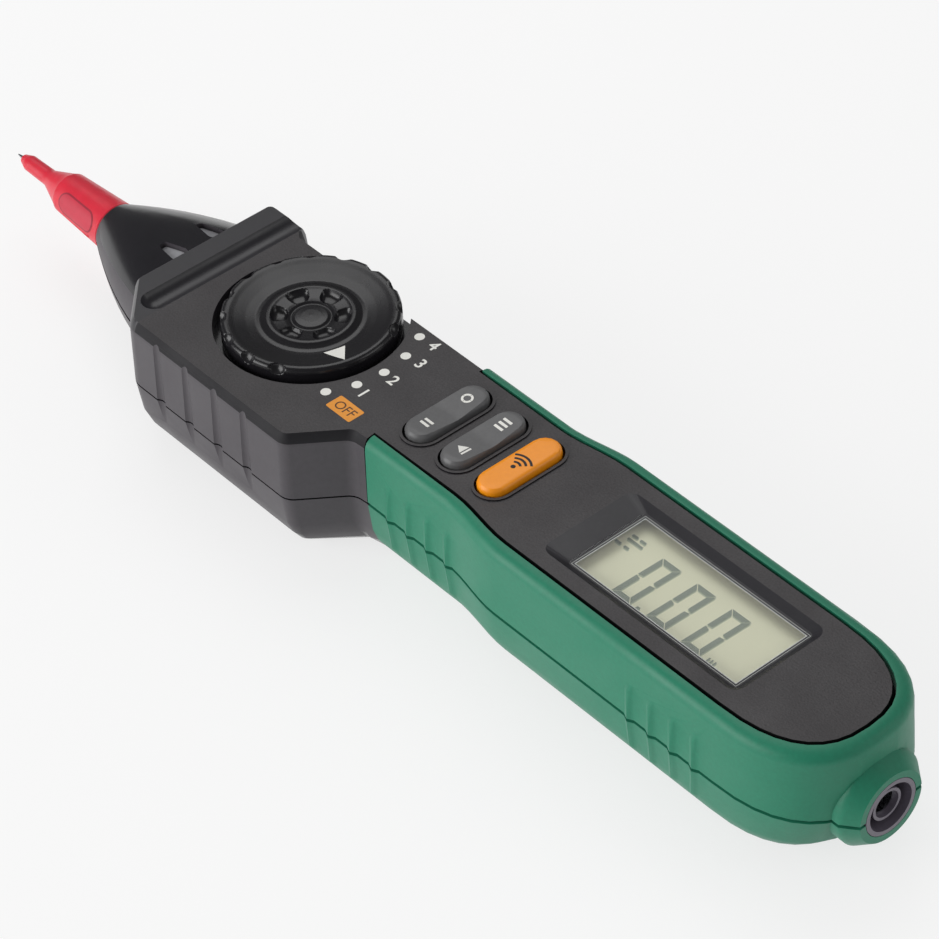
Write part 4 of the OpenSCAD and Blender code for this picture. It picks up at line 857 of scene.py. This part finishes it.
class METER_OT_keys(MeterPiece, bpy.types.Operator):
    """Dresses the three keys and prints a plain sign on each end"""

    bl_idname = "meter.keys"
    bl_label = "Keys"

    # The rocking keys' tops slope down to a crease in the middle: its depth and each slope, mm
    CREASE, SLOPE = 0.45, 0.42 * (16.5 - 0.8)

    def execute(self, context):
        ink = context.scene.meter_sizes.ink / MM
        for node, look in (
            ("hold_key", "key_grey"), ("function_key", "key_grey"), ("sensor_key", "key_orange"),
        ):
            dressed(node, node.split("_")[0], look, look, angle=35)
        self.signs("hold_key", "hold", [self.bars(2), self.ring()], ink, "white_ink")
        self.signs("function_key", "function", [self.arrow(), self.bars(3)], ink, "white_ink")
        self.signs("sensor_key", "sensor", [self.waves()], ink, "black_ink")
        return {"FINISHED"}

    @staticmethod
    def bars(count):
        """Upright bars side by side."""
        x = (np.arange(count) - (count - 1) / 2) * 0.95
        return [rounded_box(c - 0.24, c + 0.24, -0.95, 0.95, 0.08, 3) for c in x]

    @staticmethod
    def ring():
        """A ring as four curved pieces, so that each is a plain outline."""
        return [arc(0.0, 0.62, 1.0, 90 * k + 3, 90 * k + 87, 10) for k in range(4)]

    @staticmethod
    def arrow():
        """A plain upward triangle over a bar."""
        return [
            np.array([[-1.0, -0.35], [1.0, -0.35], [0.0, 1.1]]),
            rounded_box(-1.0, 1.0, -0.95, -0.6, 0.06, 3),
        ]

    @staticmethod
    def waves():
        """A dot with three arcs, as for a field that is felt without contact."""
        start = -1.3
        arcs = [arc(start, r - 0.2, r + 0.2, -42, 42, 14) for r in (1.1, 1.95, 2.8)]
        return [disc(start, 0, 0.4, 20), *arcs]

    def signs(self, node, body, groups, ink, look):
        """Lays signs on a key's top; they read along the key, with their tops to the probe."""
        low, high = (np.array(c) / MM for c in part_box(node))
        mid = (low + high) / 2
        rocking = len(groups) == 2
        outlines = []
        for shapes, y in zip(groups, [-4.1, 4.1] if rocking else [0.0]):
            for ring in shapes:
                # A sign's own right runs along +y and its top towards -x
                outlines.append(np.c_[mid[0] - ring[:, 1], mid[1] + y + ring[:, 0]])
        verts, faces = plate(outlines, -ink, ink)
        if rocking:
            from_crease = np.abs(verts[:, 1] - mid[1]) / self.SLOPE
            verts[:, 2] -= self.CREASE * (1 - np.minimum(from_crease, 1))
        verts[:, 2] += high[2]
        mesh_piece(body + "_signs", verts, faces, body, "white_plastic", look)


class METER_OT_display(MeterPiece, bpy.types.Operator):
    """Dresses the display: window, ground, three digits, point and small signs"""

    bl_idname = "meter.display"
    bl_label = "Display"

    # Small signs as plain bars, mm from the first digit's lower left corner: x, X, y, Y, corner
    SMALL_SIGNS = (
        (5.2, 5.9, -0.1, 0.6, 0.15), (-6.6, -3.4, 9.2, 9.7, 0.1), (-6.6, -5.4, 10.2, 10.7, 0.1),
        (-4.9, -3.7, 10.2, 10.7, 0.1), (-7.6, -6.4, 7.6, 8.1, 0.1), (-5.7, -4.7, 7.6, 8.1, 0.1),
        *((20.3 + 0.62 * k, 20.6 + 0.62 * k, -0.3, 0.9, 0.08) for k in range(3)),
    )

    def execute(self, context):
        for node, look in (
            ("lcd_window", "clear_acrylic"), ("lcd_glass", "display_ground"),
            ("lcd_frame", "black_nylon"), ("lcd_strips", "silicone"),
        ):
            finished(node, look)
        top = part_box("lcd_glass")[1][2] / MM
        height, width, pitch = context.scene.meter_sizes.digit / MM, 4.1, 7.45
        # The digits lie under the window, so they are placed where the view's slant shows them
        down = LENS_TOP - top
        x0, y0 = 78.3 - 0.83 * down, -7.44 + 0.85 * down
        shapes = [s for k in range(3) for s in self.zero(x0 + pitch * k, y0, width, height)]
        shapes += [
            rounded_box(x0 + a, x0 + b, y0 + c, y0 + d, r, 3) for a, b, c, d, r in self.SMALL_SIGNS
        ]
        # Each segment stands a little above the reflector, so its own faint shadow shows beside it
        shadows = [s + [0.22, -0.26] for s in shapes]
        for name, outlines, low, high, look in (
            ("display_shadows", shadows, 0.005, 0.01, "display_shadow"),
            ("display_segments", shapes, 0.012, 0.02, "display_segment"),
        ):
            bars = plate(outlines, top + low, top + high)
            mesh_piece(name, *bars, "body", "display_glass", look)
        self.border()
        return {"FINISHED"}

    def border(self):
        """The window's black printed border and on it two thin pale lines, painted highlights of its
        cut edge.
        """
        wider = np.array([-1, 1, -1, 1])  # moves each side of a box outwards by a millimetre
        inner = WINDOW + [0.55, -0.55, 0.55, -0.75]
        edge = inner + 0.06 * wider
        lip = edge + 0.36 * wider
        for name, outside, inside, over, look in (
            ("window_border", WINDOW + 0.3 * wider, inner, 0.01, "black_nylon"),
            # Two thin pale lines: painted highlights of the cut edge
            ("window_edge", edge, edge - 0.13 * wider, 0.02, "cut_edge"),
            ("window_lip", lip, lip - 0.07 * wider, 0.02, "cut_edge"),
        ):
            corners = [(b[i], b[j]) for b in (outside, inside) for i, j in
                       ((0, 2), (1, 2), (1, 3), (0, 3))]
            verts = np.c_[corners, np.full(8, LENS_TOP + over)]
            mesh_piece(name, verts, band(4), "body", "display_glass", look)

    @staticmethod
    def zero(x, y, w, h):
        """The six outer segments of a seven-segment zero, leaning a little to the right."""
        thick, gap, lean, blunt = 0.98, 0.1, 0.03, 0.25

        def segment(a, b, inwards):
            """A bar from a to b with mitred ends, blunter ones at the digit's half height."""
            a, b, inwards = np.array(a), np.array(b), np.array(inwards)
            along = (b - a) / np.linalg.norm(b - a)
            ends = []
            for p, way in ((a, along), (b, -along)):
                mitre = blunt if abs(p[1] - y - h / 2) < 0.1 else 1.0
                outer = p + way * gap
                ends.append((outer, outer + (inwards + way * mitre) * thick))
            return np.array([ends[0][0], ends[0][1], ends[1][1], ends[1][0]])

        up, down, left, right = (0.0, 1.0), (0.0, -1.0), (-1.0, 0.0), (1.0, 0.0)
        c = [(x, y), (x + w, y), (x + w, y + h), (x, y + h)]
        mid_left, mid_right = (x, y + h / 2), (x + w, y + h / 2)
        out = []
        for s in (
            segment(c[0], c[1], up), segment(c[3], c[2], down),
            segment(c[0], mid_left, right), segment(mid_left, c[3], right),
            segment(c[1], mid_right, left), segment(mid_right, c[2], left),
        ):
            s[:, 0] += (s[:, 1] - y) * lean
            area = np.sum(s[:, 0] * np.roll(s[:, 1], -1) - np.roll(s[:, 0], -1) * s[:, 1])
            out.append(s if area > 0 else s[::-1])
        return out


class METER_OT_socket(MeterPiece, bpy.types.Operator):
    """Dresses the lead socket: violet-grey rim, dark gap and the contact in its sleeve"""

    bl_idname = "meter.socket"
    bl_label = "Socket"

    def execute(self, context):
        dressed("socket_shroud", "body", "black_plastic", "socket_abs")
        dressed("socket_contact", "body", "contact_brass", "nickel")
        return {"FINISHED"}


class METER_OT_inside(MeterPiece, bpy.types.Operator):
    """Gives the pieces inside the case and on its back their finishes"""

    bl_idname = "meter.inside"
    bl_label = "Inside"

    def execute(self, context):
        for node, look in (
            ("dial_rotor", "white_nylon"), ("dial_wipers", "brass"), ("dial_screw", "steel"),
            ("detent_spring", "steel"), ("key_mat", "silicone"), ("main_board", "solder_mask"),
            ("meter_chip", "epoxy"), ("fuse", "ceramic"), ("fuse_clips", "brass"),
            ("buzzer", "epoxy"), ("battery_cell_left", "film_jacket"),
            ("battery_cell_right", "film_jacket"), ("battery_springs", "nickel"),
            ("battery_plates", "nickel"), ("door_screw", "steel"), ("case_screws", "steel"),
        ):
            finished(node, look)
        dressed("battery_door", "door", "soft_grip", "elastomer", angle=35)
        return {"FINISHED"}


class METER_OT_stage(MeterPiece, bpy.types.Operator):
    """Adds the floor, the lamps, the world and the camera"""

    bl_idname = "meter.stage"
    bl_label = "Stage"

    def execute(self, context):
        self.floor()
        self.lights()
        self.world()
        self.camera()
        context.scene.view_settings.view_transform = "Standard"
        return {"FINISHED"}

    def floor(self):
        """A wide white floor: the camera sees it near white, and it still takes the shadow."""
        glow_share, half = 0.72, 2.0  # of the glow in what the camera sees, and metres
        mat, tree = blank("White_Floor")
        path = add(tree, "ShaderNodeLightPath").outputs
        seen = combined(tree, "MAXIMUM", path["Is Camera Ray"], path["Is Glossy Ray"])
        seen = combined(tree, "MAXIMUM", seen, path["Is Transmission Ray"])
        share = combined(tree, "MULTIPLY", seen, glow_share)
        dull = add(tree, "ShaderNodeBsdfDiffuse", {"Color": (0.88, 0.88, 0.88, 1)})
        white = add(tree, "ShaderNodeEmission", {"Color": (1, 1, 1, 1), "Strength": 1.02})
        both = add(
            tree, "ShaderNodeMixShader",
            {0: share, 1: dull.outputs["BSDF"], 2: white.outputs["Emission"]},
        )
        add(tree, "ShaderNodeOutputMaterial", {"Surface": both.outputs["Shader"]})
        mesh = bpy.data.meshes.new("floor")
        corners = [(-half, -half, 0), (half, -half, 0), (half, half, 0), (-half, half, 0)]
        mesh.from_pydata(corners, [], [(0, 1, 2, 3)])
        mesh.materials.append(mat)
        floor = placed("floor", mesh)

    def lights(self):
        """Soft lamps: key over the far side of the tip, low near fill, rim behind the socket."""
        aim = Vector((0.025, 0.0, 0.015))
        for name, spot, width, power in (
            ("key", (-0.35, 0.25, 0.75), 0.6, 2.0),
            ("fill", (-0.32, -0.82, 0.22), 0.8, 8.0),
            ("rim", (0.75, 0.55, 0.45), 0.5, 1.0),
        ):
            lamp = bpy.data.lights.new(name, "AREA")
            lamp.shape = "SQUARE"
            lamp.size = width
            lamp.energy = power
            turn = (aim - Vector(spot)).to_track_quat("-Z", "Y").to_matrix().to_4x4()
            placed(name, lamp).matrix_world = Matrix.Translation(spot) @ turn

    def world(self):
        """A plain pale room that shows dark in reflections and white to the camera itself."""
        lit, mirrored = 0.38, 0.1  # what lights the scene, and what its reflections show
        world = bpy.data.worlds.new("Pale studio")
        world.use_nodes = True
        tree = world.node_tree
        tree.nodes.clear()
        path = add(tree, "ShaderNodeLightPath").outputs
        level = add(
            tree, "ShaderNodeMapRange",
            {"Value": path["Is Glossy Ray"], "To Min": lit, "To Max": mirrored},
        ).outputs["Result"]
        level = combined(tree, "MAXIMUM", level, path["Is Camera Ray"])
        ground = add(tree, "ShaderNodeBackground", {"Color": (1, 1, 1, 1), "Strength": level})
        add(tree, "ShaderNodeOutputWorld", {"Surface": ground.outputs["Background"]})
        bpy.context.scene.world = world

    def camera(self):
        """The photograph's view: from above the near side of the socket end, turned a little.

        The shift leads from a point on the fascia to the middle of the picture, across and up
        in the camera's own plane."""
        a, e, r = (math.radians(v) for v in (51.52, 41.94, -3.43))  # turn, height and roll
        point, shift = np.array([88.218, -0.9945, 25.8]), (-54.625, 32.625)
        unit, distance = 0.585, 585  # mm to a unit of the shift, and mm to the point
        focal, side, sensor = 4000, 939, 36  # pixels, pixels, mm
        back = np.array([math.sin(a) * math.cos(e), -math.cos(a) * math.cos(e), math.sin(e)])
        right = np.array([math.cos(a), math.sin(a), 0.0])
        up = np.cross(back, right)
        right, up = right * math.cos(r) + up * math.sin(r), up * math.cos(r) - right * math.sin(r)
        spot = point + unit * (shift[0] * right + shift[1] * up) + distance * back
        lens = bpy.data.cameras.new("view")
        lens.sensor_width = sensor
        lens.lens = focal / side * sensor
        lens.clip_start = 0.01
        lens.clip_end = 20
        eye = placed("view", lens)
        place = np.eye(4)
        place[:3, :3] = np.c_[right, up, back]
        place[:3, 3] = spot * MM
        eye.matrix_world = Matrix(place.tolist())
        bpy.context.scene.camera = eye


class METER_PT_panel(bpy.types.Panel):
    """Lists the meter's colours, sizes and pieces"""

    bl_idname = "METER_PT_panel"
    bl_label = "Pen multimeter"
    bl_space_type = "VIEW_3D"
    bl_region_type = "UI"
    bl_category = "Meter"

    def draw(self, context):
        for group in (context.scene.meter_sizes, context.scene.meter_colours):
            for key in group.bl_rna.properties.keys():
                if key not in ("rna_type", "name"):
                    self.layout.prop(group, key)
        for step in STEPS:
            self.layout.operator(step.bl_idname)


STEPS = (
    METER_OT_finishes, METER_OT_cases, METER_OT_grips, METER_OT_probe, METER_OT_dial,
    METER_OT_keys, METER_OT_display, METER_OT_socket, METER_OT_inside, METER_OT_stage,
)
CLASSES = (MeterSizes, MeterColours, *STEPS, METER_PT_panel)


def register():
    """Adds the classes and hangs the two groups of values on the scene."""
    for c in CLASSES:
        bpy.utils.register_class(c)
    bpy.types.Scene.meter_sizes = bpy.props.PointerProperty(type=MeterSizes)
    bpy.types.Scene.meter_colours = bpy.props.PointerProperty(type=MeterColours)


def unregister():
    """Takes them away again."""
    del bpy.types.Scene.meter_colours
    del bpy.types.Scene.meter_sizes
    for c in reversed(CLASSES):
        bpy.utils.unregister_class(c)


def main():
    """Builds every piece in order."""
    register()
    for step in STEPS:
        group, name = step.bl_idname.split(".")
        getattr(getattr(bpy.ops, group), name)()


if __name__ == "__main__":
    main()
